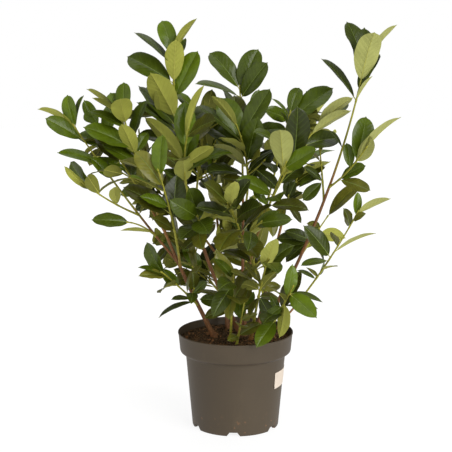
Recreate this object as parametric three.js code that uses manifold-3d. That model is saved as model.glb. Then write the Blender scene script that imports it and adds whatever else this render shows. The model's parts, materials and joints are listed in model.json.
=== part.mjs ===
import * as THREE from 'three';
import { mergeVertices } from 'three/addons/utils/BufferGeometryUtils.js';
import Module from 'manifold-3d';

// A young cherry laurel, many-stemmed from the soil, in a round nursery pot.
// Millimetres, +Z up. The pot stands on z = 0 with its axis on the Z axis, and -Y is the front.

// Pot: a thin moulded container with a deep rim band, and a foot ring cut by notches
const POT_HEIGHT = 192;
const RIM_RADIUS = 115;
const BAND_FOOT_RADIUS = 111;
const BAND_FOOT_HEIGHT = 157;
const SHOULDER_RADIUS = 99.4;
const SHOULDER_HEIGHT = 144.5;
const BASE_RADIUS = 86.5;
const WALL = 2;
const PAD_RADIUS = 58;
const CHANNEL_RADIUS = 79;
const CHANNEL_HEIGHT = 8.5;
const CHANNEL_SLOPE = 4;
const POT_SEGMENTS = 28;
const NOTCHES = 6;
const NOTCH_BOTTOM = 27;
const NOTCH_TOP = 15;
const NOTCH_HEIGHT = 8;
const NOTCH_TURN = -3;

// Sticker on the pot wall, by bearing from the front towards +X
const STICKER_FROM = 53;
const STICKER_TO = 96;
const STICKER_LOW = 88;
const STICKER_HIGH = 121;
const STICKER_THICKNESS = 0.5;
const STICKER_STEPS = 9;

// Soil level, and the gap kept between neighbouring solids
const SOIL_LEVEL = 178;
const GAP = 0.3;

// Limbs and twigs
const FLARE_SHARE = 0.75;
const FLARE_HEIGHT = 14;
const TIP_RADIUS = 1.3;
const LIMB_SIDES = 6;
const LIMB_STEP = 50;
const TWIG_SIDES = 3;
const TWIG_STEP = 70;
const TWIG_FULLNESS = 1.5;

// Leaves: shares of a leaf's own length or width unless said otherwise
const PETIOLE = 0.08;
const BLADE_RISE = 0.68;
const BLADE_FALL = 0.54;
const LEAF_WIDTH = 0.46;
const LEAF_KEEL = 0.022;
const LEAF_FOLD = 9;
const LEAF_SECTIONS = [0.4, 0.8];
const PETIOLE_RADIUS = 0.9;
const ROOT_SINK = 0.2;
const SMALLEST_EDGE = 0.05;
const GOLDEN_ANGLE = 137.5;

// Growth rule of a leafy shoot, from its tip down to its lowest leaf
const TIP_ANGLE = 16;
const FOOT_ANGLE = 46;
const ANGLE_EASE = 0.8;
const ANGLE_SPREAD = 10;
const TURN_SPREAD = 14;
const ROLL_SPREAD = 34;
const SIZE_SPREAD = 0.1;
const YOUNG_SIZE = 0.78;
const GROWING_RATE = 2.2;
const LIGHT_TURN = 0.15;
const OLD_LIGHT_TURN = 0.55;
const DROOP = 0.12;
const BEND_LEAST = 0.08;
const BEND_MOST = 0.75;
const LEAD_BEND = 0.3;
const TOP_LEAF = 0.4;
const LOWEST_LEAF = 12;
const SPRIG_ANGLE = 42;
const SPRIG_LENGTH = 70;
const SPRIG_LEAVES = 3;
const SPRIG_SIZE = 0.78;
const SPRIG_BARE = 0.2;
const SPRIG_GIRTH = 1.6;
const SPRIG_SAG = 4;
const SPRIG_LOWEST = 0.22;
const SPRIG_SPACING = 0.25;
const SPRIG_SPREAD = 0.1;
const SPRIG_TURN = 110;
const SPRIG_ROOT = 0.001;
const TRIES = 7;
const TRY_TURN = 25;
const TRY_SHRINK = 0.05;
const LEAD_TRIES = [1, 0.9, 0.8, 0.7];
const SEED = 4127;

// Clearances that decide whether a leaf is kept
const LEAF_CLEAR = 8;
const SISTER_CLEAR = 4;
const LIMB_CLEAR = 5;
const POT_CLEAR = 6;
const CELL = 16;
const SAMPLE_ROWS = 9;
const SAMPLE_COLUMNS = [-0.95, -0.48, 0, 0.48, 0.95];
const ROOT_SAMPLES = 3 * SAMPLE_COLUMNS.length;
const AXIS_STEP = 5;

// Shoots. A stem has its foot on the soil, and a side shoot leaves its parent at a share of the parent's
// length. Each runs to its tip in one bow, whose offset moves its middle. It is bare to a share of its own
// length, where a leafy mass takes over, and a shoot with bare 0 is leafy from its foot.
// girth is the radius at its foot, leaves and size are the count and longest length of its spiral leaves,
// face is the bearing of the top one in degrees from +X towards +Y, and sprigs counts its side twigs.
// crown is the share of the leafy part, from the tip down, that its leads fill alone.
// leads are its most prominent leaves: share along the shoot, bearing, pitch above level, length, and the
// share of the width that shows to the front, below 0 where the underside shows.
const SHOOTS = [
  { name: 'tall', foot: [10, 30], tip: [-119, 10, 752], bow: [-80, 0, 0], bare: 0.62, girth: 4.3,
    leaves: 4, size: 108, face: 30, crown: 0.8, sprigs: 1,
    leads: [[0.76, 216, 58, 111, -0.98], [0.88, 283, 74, 91, -0.98], [0.83, 12, 62, 104, 0.89],
      [0.97, 139, 67, 80, 0.98], [0.99, 347, 56, 79, -0.3], [0.94, 180, 42, 101, 0.4],
      [0.88, 168, 30, 109, 0.83], [0.73, 164, 46, 114, 0.71], [0.71, 187, 39, 102, 0.45],
      [0.92, 48, 60, 74, 0.71]] },
  { name: 'left', foot: [-40, -15], tip: [-216, -45, 628], bow: [-20, 0, -10], bare: 0.62, girth: 4.5,
    leaves: 5, size: 98, face: 100, crown: 0.3, sprigs: 1,
    leads: [[0.96, 266, 40, 91, -0.98], [0.83, 235, 57, 79, -0.98], [0.98, 190, 36, 75, -0.25],
      [0.99, 91, 62, 73, 0.98], [0.94, 153, 42, 118, -0.2], [0.84, 42, 53, 51, 0.98],
      [0.94, 168, 26, 83, 0.5], [0.86, 187, 25, 107, 0.71], [0.79, 180, 29, 82, 0.71],
      [0.69, 241, 63, 64, -0.71], [0.97, 131, 48, 79, 0.94]] },
  { name: 'right', foot: [48, 10], tip: [251, 15, 727], bow: [50, 0, 0], bare: 0.66, girth: 4.2,
    leaves: 0, size: 98, face: 135, sprigs: 0,
    leads: [[0.92, 302, 69, 112, -0.98], [0.86, 172, 51, 108, 0.45], [0.98, 133, 62, 99, 0.73],
      [0.99, 351, 52, 98, -0.3], [0.95, 82, 63, 113, 0.98], [0.69, 197, 54, 45, 0.45],
      [0.89, 30, 57, 90, 0.5], [0.86, 346, 59, 65, -0.3]] },
  { name: 'middle', foot: [20, 5], tip: [160, 0, 604], bow: [-90, 0, 0], bare: 0.66, girth: 3.9,
    leaves: 4, size: 104, face: 105, crown: 0.25, sprigs: 1,
    leads: [[0.84, 277, 67, 116, 0.98], [0.95, 346, 34, 97, -0.45], [0.99, 350, 41, 93, -0.5],
      [0.99, 29, 33, 98, 0.71]] },
  { name: 'top', foot: [12, 60], tip: [9, 110, 668], bow: [10, 0, 20], bare: 0.64, girth: 3.6, leaves: 5,
    size: 104, face: 195, crown: 0.45, sprigs: 1,
    leads: [[0.99, 163, 52, 102, 0.85], [0.98, 21, 67, 98, 0.94], [0.95, 343, 54, 95, 0.94],
      [0.96, 186, 18, 97, 0.35]] },
  { name: 'left_far', from: 'left', at: 0.36, tip: [-313, -10, 602], bow: [0, 0, -15], bare: 0.55,
    girth: 2.8, leaves: 0, size: 84, face: 345, sprigs: 0,
    leads: [[0.91, 189, 30, 86, 0.83], [0.99, 171, 28, 84, -0.3], [0.99, 141, 70, 69, 0.94],
      [0.99, 16, 76, 74, 0.4], [0.74, 187, 18, 91, 0.5], [0.64, 191, 47, 61, 0.83]] },
  { name: 'left_side', from: 'left_far', at: 0.38, tip: [-288, -85, 501], bow: [0, 0, -10], bare: 0.3,
    girth: 2.1, leaves: 0, size: 66, face: 90, sprigs: 0,
    leads: [[0.86, 191, 41, 70, -0.45], [0.71, 245, 43, 68, -0.98], [0.4, 260, 55, 53, -0.98],
      [0.82, 152, 42, 79, 0.71]] },
  { name: 'left_skirt', from: 'left_far', at: 0.22, tip: [-205, -75, 425], bow: [0, 0, 10], bare: 0,
    girth: 2, leaves: 0, size: 72, face: 300, sprigs: 0,
    leads: [[0.92, 191, 6, 77, 0.89], [0.15, 189, 6, 62, -0.25]] },
  { name: 'tall_side', from: 'tall', at: 0.5, tip: [-90, -80, 600], bow: [-15, 0, 0], bare: 0.15,
    girth: 2.5, leaves: 4, size: 100, face: 60, sprigs: 0,
    leads: [[0.83, 343, 73, 118, -0.2], [0.18, 267, 45, 84, -0.98], [0.46, 333, 32, 77, -0.71],
      [0.51, 183, 50, 118, -0.5], [0.42, 32, 76, 91, 0.89], [0.2, 193, 31, 52, 0.71],
      [0.36, 164, 38, 68, 0.94]] },
  { name: 'centre', from: 'top', at: 0.45, tip: [2, -10, 603], bow: [30, 0, 0], bare: 0.3, girth: 2.6,
    leaves: 8, size: 104, face: 195, crown: 0.3, sprigs: 1,
    leads: [[0.98, 202, 51, 85, -0.5], [0.84, 108, 58, 108, 0.98], [0.6, 298, 65, 108, 0.98],
      [0.82, 188, 40, 118, 0.4], [0.88, 19, 56, 112, 0.89], [0.55, 205, 37, 91, -0.4],
      [0.38, 201, 15, 57, 0.83]] },
  { name: 'middle_pale', from: 'middle', at: 0.6, tip: [94, -85, 540], bow: [0, 0, 0], bare: 0,
    girth: 2.2, leaves: 3, size: 98, face: 80, sprigs: 0,
    leads: [[0.86, 262, 55, 110, -0.98], [0.34, 203, 26, 87, 0.71], [0.12, 347, -1, 82, 0.71],
      [0.12, 285, -64, 66, 0.83], [0.12, 197, 43, 47, 0.83]] },
  { name: 'crest', from: 'middle', at: 0.55, tip: [108, 55, 622], bow: [0, 0, 0], bare: 0.4, girth: 2.6,
    leaves: 7, size: 100, face: 165, crown: 0.2, sprigs: 1,
    leads: [[0.99, 47, 63, 61, 0.94], [0.94, 220, 21, 75, 0.98], [0.97, 161, 45, 51, 0.4],
      [0.9, 9, 38, 118, 0.71]] },
  { name: 'right_side', from: 'right', at: 0.55, tip: [246, -70, 566], bow: [0, 0, -15], bare: 0.25,
    girth: 2.2, leaves: 0, size: 86, face: 130, sprigs: 0,
    leads: [[0.72, 319, 52, 69, -0.89], [0.78, 356, 48, 118, -0.3], [0.73, 47, 69, 95, 0.98],
      [0.59, 131, 78, 51, 0.98], [0.28, 338, 30, 62, 0.71], [0.28, 342, -16, 66, 0.94]] },
  { name: 'left_front', from: 'left', at: 0.34, tip: [-145, -115, 528], bow: [10, 0, 0], bare: 0.35,
    girth: 2.6, leaves: 4, size: 90, face: 135, sprigs: 0,
    leads: [[0.57, 190, 32, 107, 0.89], [0.84, 180, 54, 89, 0.89], [0.4, 216, 30, 59, 0.71]] },
  { name: 'middle_front', from: 'middle', at: 0.3, tip: [-15, -135, 470], bow: [10, 0, 20], bare: 0.3,
    girth: 2.3, leaves: 10, size: 96, face: 225, sprigs: 1,
    leads: [[0.95, 287, 58, 63, -0.89], [0.67, 208, 20, 58, -0.25], [0.35, 202, -6, 66, -0.45],
      [0.41, 338, 37, 50, -0.5]] },
  { name: 'front', foot: [30, -25], tip: [58, -165, 370], bow: [0, 0, 25], bare: 0.45, girth: 3.1,
    leaves: 3, size: 94, face: 15, sprigs: 1,
    leads: [[0.84, 305, 63, 76, -0.89], [0.56, 306, 42, 71, -0.65], [0.56, 226, 24, 58, -0.83],
      [0.65, 172, 50, 54, 0.71], [0.48, 247, -33, 52, 0.5], [0.65, 30, 42, 59, 0.83],
      [0.56, 23, 9, 47, 0.94], [0.48, 35, -10, 50, 0.83], [0.49, 34, -58, 61, 0.98]] },
  { name: 'front_right', foot: [55, -40], tip: [105, -165, 318], bow: [0, 0, 0], bare: 0.4, girth: 2.2,
    leaves: 4, size: 88, face: 270, crown: 0.4, sprigs: 0,
    leads: [[0.89, 313, -25, 79, 0.98], [0.81, 25, 80, 67, 0.94], [0.74, 130, -78, 75, -0.71],
      [0.56, 149, 56, 53, 0.94], [0.89, 17, -15, 72, 0.3], [0.68, 187, -37, 50, 0.94],
      [0.43, 229, -36, 73, 0.94]] },
  { name: 'front_left', foot: [-10, -40], tip: [-5, -150, 335], bow: [0, 0, 25], bare: 0.4, girth: 2.4,
    leaves: 6, size: 90, face: 180, sprigs: 0,
    leads: [[0.84, 222, -46, 76, 0.94], [0.61, 258, -41, 51, 0.89], [0.56, 187, 16, 72, 0.3],
      [0.47, 193, -20, 59, 0.83], [0.52, 161, 1, 67, 0.83], [0.95, 155, 44, 58, 0.71]] },
  { name: 'right_low', foot: [62, -10], tip: [228, -115, 450], bow: [10, 0, -20], bare: 0.5, girth: 2.4,
    leaves: 0, size: 66, face: 90, sprigs: 0,
    leads: [[0.99, 346, 29, 73, -0.45], [0.73, 353, 28, 90, -0.2], [0.69, 193, 51, 86, 0.83],
      [0.77, 104, 29, 45, 0.71], [0.91, 246, 49, 54, 0.89], [0.95, 308, 30, 37, 0.71],
      [0.6, 315, 19, 42, -0.2], [0.54, 229, 39, 43, -0.4], [0.55, 62, 37, 43, 0.4],
      [0.53, 198, 27, 44, 0.5], [0.67, 200, -5, 59, 0.5], [0.98, 70, 77, 46, 0.83]] },
  { name: 'left_low', from: 'left', at: 0.16, tip: [-140, -95, 330], bow: [0, 0, 5], bare: 0, girth: 2.1,
    leaves: 3, size: 76, face: 200, sprigs: 1,
    leads: [[0.12, 192, -20, 79, 0.3], [0.94, 159, 56, 74, 0.77], [0.84, 202, 24, 75, 0.3],
      [0.2, 213, 6, 47, 0.45], [0.56, 213, 48, 55, 0.94]] },
  { name: 'left_mid', from: 'tall', at: 0.31, tip: [-72, -125, 445], bow: [0, 0, 10], bare: 0.3,
    girth: 2.4, leaves: 6, size: 96, face: 260, sprigs: 1,
    leads: [[0.51, 321, 49, 78, -0.83], [0.78, 180, 32, 84, 0.5], [0.35, 214, -30, 57, 0.71]] },
  { name: 'right_thin', from: 'right', at: 0.5, tip: [170, 80, 545], bow: [0, 0, 10], bare: 0.3,
    girth: 2.2, leaves: 3, size: 92, face: 100, sprigs: 0,
    leads: [[0.33, 197, 37, 52, 0.71], [0.33, 192, -43, 55, 0.94], [0.47, 200, -22, 56, 0.71]] },
  { name: 'tall_back', from: 'tall', at: 0.42, tip: [-62, 120, 600], bow: [0, 0, 10], bare: 0.35,
    girth: 2.6, leaves: 7, size: 100, face: 15, sprigs: 1 },
  { name: 'left_back', from: 'left', at: 0.5, tip: [-278, 40, 612], bow: [0, 0, 0], bare: 0.35,
    girth: 2.4, leaves: 5, size: 92, face: 345, sprigs: 1,
    leads: [[0.94, 180, 60, 59, 0.98], [0.62, 193, 43, 74, 0.83], [0.54, 190, 22, 48, 0.83]] },
  { name: 'sprout', foot: [2, -62], tip: [16, -85, 268], bow: [0, 0, 0], bare: 0, girth: 1.8, leaves: 5,
    size: 62, face: 300, sprigs: 0,
    leads: [[0.23, 239, 1, 40, 0.89], [0.87, 343, 23, 37, 0.94], [0.61, 346, 24, 45, 0.94],
      [0.94, 58, 59, 46, 0.83], [0.87, 58, 32, 48, 0.94]] },
  { name: 'back', foot: [-15, 70], tip: [-60, 235, 560], bow: [0, 0, 40], bare: 0.55, girth: 3.8,
    leaves: 8, size: 104, face: 80, sprigs: 1 },
  { name: 'back_left', from: 'back', at: 0.3, tip: [-190, 165, 520], bow: [0, 0, 0], bare: 0.35,
    girth: 2.6, leaves: 6, size: 98, face: 135, sprigs: 1,
    leads: [[0.53, 180, 62, 60, 0.94], [0.41, 180, 84, 74, 0.83], [0.94, 173, -45, 62, 0.89],
      [0.83, 194, -66, 51, 0.83], [0.69, 346, 36, 26, 0.94]] },
  { name: 'back_right', foot: [45, 62], tip: [150, 205, 570], bow: [0, 0, 30], bare: 0.55, girth: 3.8,
    leaves: 7, size: 104, face: 60, sprigs: 1,
    leads: [[0.6, 0, -57, 54, 0.71], [0.59, 210, -54, 68, 0.83]] },
  { name: 'back_low', from: 'back_right', at: 0.14, tip: [15, 150, 385], bow: [0, 0, 0], bare: 0.25,
    girth: 2.4, leaves: 7, size: 92, face: 90, sprigs: 1,
    leads: [[0.39, 188, 24, 77, 0.71], [0.73, 180, 9, 55, 0.71], [0.36, 203, -9, 53, 0.5]] },
  { name: 'back_low_left', from: 'back', at: 0.12, tip: [-120, 160, 350], bow: [0, 0, 0], bare: 0,
    girth: 2.2, leaves: 8, size: 90, face: 140, sprigs: 1,
    leads: [[0.48, 186, 49, 67, 0.89], [0.53, 209, 9, 46, 0.71], [0.8, 180, -29, 61, 0.89]] },
  { name: 'right_back', from: 'right', at: 0.3, tip: [188, 100, 405], bow: [0, 0, 0], bare: 0.35,
    girth: 2.2, leaves: 0, size: 90, face: 315, sprigs: 1,
    leads: [[0.99, 350, 46, 99, 0.5], [0.67, 197, -42, 56, 0.71], [0.38, 322, -50, 50, 0.3],
      [0.38, 180, 22, 59, 0.94], [0.38, 186, -38, 69, 0.71], [0.38, 172, 3, 71, 0.94]] },
];

// Colours of the plain solids
const BARK = 0x6b4a2c;
const GREEN_LEAF = 0x3f5c1c;
const POT_COLOUR = 0x4d453a;
const SOIL_COLOUR = 0x33231a;
const STICKER_COLOUR = 0xe9e6da;

const RAD = Math.PI / 180;
const UP = new THREE.Vector3(0, 0, 1);
const FRONT = new THREE.Vector3(0, -1, 0.2);
const LIGHT = new THREE.Vector3(0, -0.5, 0.85);
const SIDE_REFERENCE = new THREE.Vector3(0, 1, 0);

const wasm = await Module();
wasm.setup();

// Even numbers between 0 and 1 from a seed, the same on every run
class Dice {
  constructor(seed) {
    this.state = seed;
  }

  roll() {
    this.state = (this.state * 1664525 + 1013904223) % 4294967296;
    return this.state / 4294967296;
  }

  spread(width) {
    return (this.roll() * 2 - 1) * width;
  }
}

// Geometry of a closed surface with shared vertices, no collapsed faces, and its faces outwards
function closedGeometry(geometry) {
  geometry.deleteAttribute('normal');
  geometry.deleteAttribute('uv');
  const merged = mergeVertices(geometry, 1e-4);
  const position = merged.getAttribute('position');
  const index = [];
  let volume = 0;
  const a = new THREE.Vector3();
  const b = new THREE.Vector3();
  const c = new THREE.Vector3();
  for (let i = 0; i < merged.index.count; i += 3) {
    const [p, q, r] = [0, 1, 2].map((k) => merged.index.getX(i + k));
    if (p === q || q === r || r === p) continue;
    a.fromBufferAttribute(position, p);
    b.fromBufferAttribute(position, q);
    c.fromBufferAttribute(position, r);
    volume += a.dot(b.cross(c));
    index.push(p, q, r);
  }
  if (volume < 0) index.reverse();
  merged.setIndex(index);
  return merged;
}

function geometryFrom(points, faces) {
  const geometry = new THREE.BufferGeometry().setFromPoints(points);
  geometry.setIndex(faces);
  return closedGeometry(geometry);
}

function solidFrom(geometry) {
  const vertProperties = new Float32Array(geometry.getAttribute('position').array);
  const triVerts = new Uint32Array(geometry.index.array);
  return new wasm.Manifold(new wasm.Mesh({ numProp: 3, vertProperties, triVerts }));
}

function geometryOf(solid) {
  const mesh = solid.getMesh();
  const geometry = new THREE.BufferGeometry();
  geometry.setAttribute('position', new THREE.BufferAttribute(new Float32Array(mesh.vertProperties), 3));
  geometry.setIndex(new THREE.BufferAttribute(new Uint32Array(mesh.triVerts), 1));
  return geometry;
}

function lathe(profile) {
  const points = profile.map(([radius, height]) => new THREE.Vector2(radius, height));
  const geometry = new THREE.LatheGeometry(points, POT_SEGMENTS);
  geometry.rotateX(Math.PI / 2);
  return closedGeometry(geometry);
}

// Radius of the pot's outer wall below the shoulder
function wallRadius(height) {
  return BASE_RADIUS + (SHOULDER_RADIUS - BASE_RADIUS) * (height / SHOULDER_HEIGHT);
}

function potGeometry() {
  const floor = CHANNEL_HEIGHT + WALL;
  const shell = solidFrom(lathe([
    [0, 0],
    [PAD_RADIUS, 0],
    [PAD_RADIUS + CHANNEL_SLOPE, CHANNEL_HEIGHT],
    [CHANNEL_RADIUS, CHANNEL_HEIGHT],
    [CHANNEL_RADIUS + WALL / 2, 0],
    [BASE_RADIUS, 0],
    [SHOULDER_RADIUS, SHOULDER_HEIGHT],
    [BAND_FOOT_RADIUS - WALL, BAND_FOOT_HEIGHT - CHANNEL_SLOPE],
    [BAND_FOOT_RADIUS, BAND_FOOT_HEIGHT],
    [RIM_RADIUS, POT_HEIGHT - WALL],
    [RIM_RADIUS - WALL / 2, POT_HEIGHT],
    [RIM_RADIUS - WALL, POT_HEIGHT],
    [BAND_FOOT_RADIUS - WALL, BAND_FOOT_HEIGHT + WALL / 2],
    [SHOULDER_RADIUS - WALL, SHOULDER_HEIGHT + WALL / 2],
    [wallRadius(floor) - WALL, floor],
    [PAD_RADIUS + CHANNEL_SLOPE - WALL, floor],
    [PAD_RADIUS - WALL, WALL],
    [0, WALL],
  ]));
  const outline = new THREE.Shape([
    new THREE.Vector2(-NOTCH_BOTTOM / 2, -1),
    new THREE.Vector2(NOTCH_BOTTOM / 2, -1),
    new THREE.Vector2(NOTCH_TOP / 2, NOTCH_HEIGHT),
    new THREE.Vector2(-NOTCH_TOP / 2, NOTCH_HEIGHT),
  ]);
  let pot = shell;
  for (let i = 0; i < NOTCHES; i += 1) {
    const depth = 2 * (BASE_RADIUS - CHANNEL_RADIUS);
    const cutter = new THREE.ExtrudeGeometry(outline, { depth, bevelEnabled: false });
    cutter.rotateX(Math.PI / 2);
    cutter.translate(0, -CHANNEL_RADIUS + WALL, 0);
    cutter.rotateZ((NOTCH_TURN + (i * 360) / NOTCHES) * RAD);
    pot = pot.subtract(solidFrom(closedGeometry(cutter)));
  }
  return geometryOf(pot);
}

// The root ball and soil, filling the pot to its level
function soilGeometry() {
  const floor = CHANNEL_HEIGHT + WALL + GAP;
  const slope = (RIM_RADIUS - BAND_FOOT_RADIUS) / (POT_HEIGHT - BAND_FOOT_HEIGHT);
  const inset = WALL + 2 * GAP;
  return lathe([
    [0, WALL + GAP],
    [PAD_RADIUS - inset, WALL + GAP],
    [PAD_RADIUS + CHANNEL_SLOPE - inset, floor],
    [wallRadius(floor) - inset, floor],
    [SHOULDER_RADIUS - inset, SHOULDER_HEIGHT + WALL],
    [BAND_FOOT_RADIUS - inset - WALL, BAND_FOOT_HEIGHT + WALL],
    [BAND_FOOT_RADIUS - inset - WALL + slope * (SOIL_LEVEL - BAND_FOOT_HEIGHT), SOIL_LEVEL],
    [0, SOIL_LEVEL],
  ]);
}

// A blank sticker lying round the pot's tapering wall
function stickerGeometry() {
  const points = [];
  for (let i = 0; i <= STICKER_STEPS; i += 1) {
    const bearing = (STICKER_FROM + ((STICKER_TO - STICKER_FROM) * i) / STICKER_STEPS) * RAD;
    for (const [height, lift] of [[STICKER_LOW, 0], [STICKER_HIGH, 0], [STICKER_HIGH, 1], [STICKER_LOW, 1]]) {
      const radius = wallRadius(height) + GAP + lift * STICKER_THICKNESS;
      points.push(new THREE.Vector3(radius * Math.sin(bearing), -radius * Math.cos(bearing), height));
    }
  }
  const faces = [0, 1, 2, 0, 2, 3];
  for (let i = 0; i < STICKER_STEPS; i += 1) {
    for (let k = 0; k < 4; k += 1) {
      const a = i * 4 + k;
      const b = i * 4 + ((k + 1) % 4);
      faces.push(a, a + 4, b, b, a + 4, b + 4);
    }
  }
  const end = STICKER_STEPS * 4;
  faces.push(end, end + 2, end + 1, end, end + 3, end + 2);
  return geometryFrom(points, faces);
}

// Point and direction on a shoot's bow, at a share of its length
function along(shoot, share) {
  const rest = 1 - share;
  return new THREE.Vector3()
    .addScaledVector(shoot.start, rest * rest)
    .addScaledVector(shoot.middle, 2 * rest * share)
    .addScaledVector(shoot.end, share * share);
}

function heading(shoot, share) {
  return new THREE.Vector3()
    .addScaledVector(shoot.start, share - 1)
    .addScaledVector(shoot.middle, 1 - 2 * share)
    .addScaledVector(shoot.end, share)
    .normalize();
}

function radiusAt(shoot, share) {
  const taper = shoot.girth + (TIP_RADIUS - shoot.girth) * share;
  const flare = shoot.from ? 0 : FLARE_SHARE * Math.exp((-share * shoot.length) / FLARE_HEIGHT);
  return taper * (1 + flare);
}

function makeShoot(row, start) {
  const end = new THREE.Vector3(...row.tip);
  const middle = start.clone().lerp(end, 0.5).add(new THREE.Vector3(...row.bow));
  return { ...row, start, middle, end, length: start.distanceTo(end) };
}

// Two directions square to a heading
function crossFrame(direction) {
  const first = SIDE_REFERENCE.clone().cross(direction).normalize();
  return [first, direction.clone().cross(first)];
}

// Corners of a limb's section; a three-sided one is drawn wider, to the area of the round twig
function ringPoints(centre, direction, girth, sides) {
  const [first, second] = crossFrame(direction);
  const radius = sides === TWIG_SIDES ? TWIG_FULLNESS * girth : girth;
  return Array.from({ length: sides }, (_, i) => {
    const turn = (i / sides) * 2 * Math.PI;
    return centre.clone()
      .addScaledVector(first, radius * Math.cos(turn))
      .addScaledVector(second, radius * Math.sin(turn));
  });
}

// A tapering limb between two shares of a shoot; a stem's foot is cut flat and level
function limbGeometry(shoot, from, to, sides, step) {
  const steps = Math.max(1, Math.round(((to - from) * shoot.length) / step));
  const points = [];
  for (let i = 0; i <= steps; i += 1) {
    const share = from + ((to - from) * i) / steps;
    const level = i === 0 && from === 0;
    const direction = level ? UP : heading(shoot, share);
    points.push(...ringPoints(along(shoot, share), direction, radiusAt(shoot, share), sides));
  }
  const faces = [];
  for (let k = 2; k < sides; k += 1) {
    const last = steps * sides;
    faces.push(0, k, k - 1, last, last + k - 1, last + k);
  }
  for (let i = 0; i < steps; i += 1) {
    for (let k = 0; k < sides; k += 1) {
      const a = i * sides + k;
      const b = i * sides + ((k + 1) % sides);
      faces.push(a, b, a + sides, b, b + sides, a + sides);
    }
  }
  return geometryFrom(points, faces);
}

// First share of a side shoot whose end face lies clear of its parent
function clearShare(shoot, parent, sides) {
  const step = 0.5 / shoot.length;
  for (let share = step; share < 0.5; share += step) {
    const centre = along(shoot, share);
    const ring = ringPoints(centre, heading(shoot, share), radiusAt(shoot, share), sides);
    const face = [centre];
    ring.forEach((corner, i) => {
      const next = ring[(i + 1) % sides];
      [0, 0.25, 0.5, 0.75].forEach((part) => face.push(corner.clone().lerp(next, part)));
    });
    const nearest = Math.min(...face.map((point) => distanceTo(parent, point)));
    if (nearest >= GAP) return share;
  }
  throw new Error(`${shoot.name} never leaves ${parent.name}`);
}

// Distance from a point to the bark of a shoot
function distanceTo(shoot, point) {
  const steps = Math.ceil(shoot.length / 2);
  let nearest = Infinity;
  for (let i = 0; i <= steps; i += 1) {
    const share = i / steps;
    nearest = Math.min(nearest, along(shoot, share).distanceTo(point) - radiusAt(shoot, share));
  }
  return nearest;
}

// Half width of a blade along its length, from 0 to 1
function bladeWidth(share) {
  const along = Math.max(0, (share - PETIOLE) / (1 - PETIOLE));
  const widest = BLADE_RISE / (BLADE_RISE + BLADE_FALL);
  const most = widest ** BLADE_RISE * (1 - widest) ** BLADE_FALL;
  return (along ** BLADE_RISE * Math.max(0, 1 - along) ** BLADE_FALL) / most;
}

// A point of a leaf: share along its midrib, across from -1 to 1, and depth below the blade
function leafPoint(leaf, share, across, depth = 0) {
  const bend = leaf.bend * share;
  const ahead = (leaf.length * Math.sin(bend)) / leaf.bend;
  const drop = (leaf.length * (1 - Math.cos(bend))) / leaf.bend;
  const half = across * 0.5 * leaf.width * bladeWidth(share);
  const lift = Math.abs(half) * Math.sin(LEAF_FOLD * RAD) - depth;
  return leaf.base.clone()
    .addScaledVector(leaf.direction, ahead + lift * Math.sin(bend))
    .addScaledVector(leaf.upper, lift * Math.cos(bend) - drop)
    .addScaledVector(leaf.side, half * Math.cos(LEAF_FOLD * RAD));
}

// A leaf from a point of a shoot in a given direction. Its upper side turns to the shoot and to the light.
function makeLeaf(shoot, share, direction, length, bend, roll, lightTurn) {
  const axis = heading(shoot, share);
  const inward = axis.addScaledVector(direction, -axis.dot(direction)).normalize();
  const lit = LIGHT.clone().addScaledVector(direction, -LIGHT.dot(direction));
  const upper = inward.multiplyScalar(1 - lightTurn).addScaledVector(lit, lightTurn).normalize();
  upper.applyAxisAngle(direction, roll * RAD);
  const base = along(shoot, share).addScaledVector(direction, -ROOT_SINK);
  const side = direction.clone().cross(upper);
  return { base, direction, upper, side, length, width: length * LEAF_WIDTH, bend };
}

// A leaf of the spiral: age runs from 0 at the shoot's tip to 1 at its lowest leaf
function spiralLeaf(shoot, share, turn, age, size, dice) {
  const axis = heading(shoot, share);
  const [first, second] = crossFrame(axis);
  const angle = (TIP_ANGLE + (FOOT_ANGLE - TIP_ANGLE) * age ** ANGLE_EASE + dice.spread(ANGLE_SPREAD)) * RAD;
  const round = (turn + dice.spread(TURN_SPREAD)) * RAD;
  const radial = first.multiplyScalar(Math.cos(round)).addScaledVector(second, Math.sin(round));
  const direction = axis.multiplyScalar(Math.cos(angle)).addScaledVector(radial, Math.sin(angle));
  direction.z -= DROOP * age;
  direction.normalize();
  const young = YOUNG_SIZE + (1 - YOUNG_SIZE) * Math.sin(Math.min(1, age * GROWING_RATE) * 0.5 * Math.PI);
  const length = size * young * (1 + dice.spread(SIZE_SPREAD));
  const bend = BEND_LEAST + (BEND_MOST - BEND_LEAST) * dice.roll();
  const lightTurn = LIGHT_TURN + (OLD_LIGHT_TURN - LIGHT_TURN) * age;
  return makeLeaf(shoot, share, direction, length, bend, dice.spread(ROLL_SPREAD), lightTurn);
}

// A prominent leaf: its bearing and pitch are those of the straight line to its tip
function leadLeaf(shoot, share, bearing, pitch, length, show) {
  const level = Math.cos(pitch * RAD);
  const direction = new THREE.Vector3(
    level * Math.cos(bearing * RAD),
    level * Math.sin(bearing * RAD),
    Math.sin(pitch * RAD),
  );
  const leaf = makeLeaf(shoot, share, direction, length, LEAD_BEND, 0, LIGHT_TURN);
  const front = FRONT.clone().addScaledVector(direction, -FRONT.dot(direction)).normalize();
  const across = new THREE.Vector3().crossVectors(direction, front);
  if (across.dot(heading(shoot, share)) < 0) {
    across.negate();
  }
  leaf.upper.copy(front).multiplyScalar(show).addScaledVector(across, Math.sqrt(1 - show * show));
  leaf.side.crossVectors(leaf.direction, leaf.upper);
  leaf.direction.applyAxisAngle(leaf.side, LEAD_BEND / 2);
  leaf.upper.applyAxisAngle(leaf.side, LEAD_BEND / 2);
  return leaf;
}

function leafSamples(leaf) {
  const samples = [];
  for (let row = 1; row <= SAMPLE_ROWS; row += 1) {
    for (const across of SAMPLE_COLUMNS) {
      samples.push(leafPoint(leaf, row / SAMPLE_ROWS, across));
    }
  }
  return samples;
}

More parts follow.
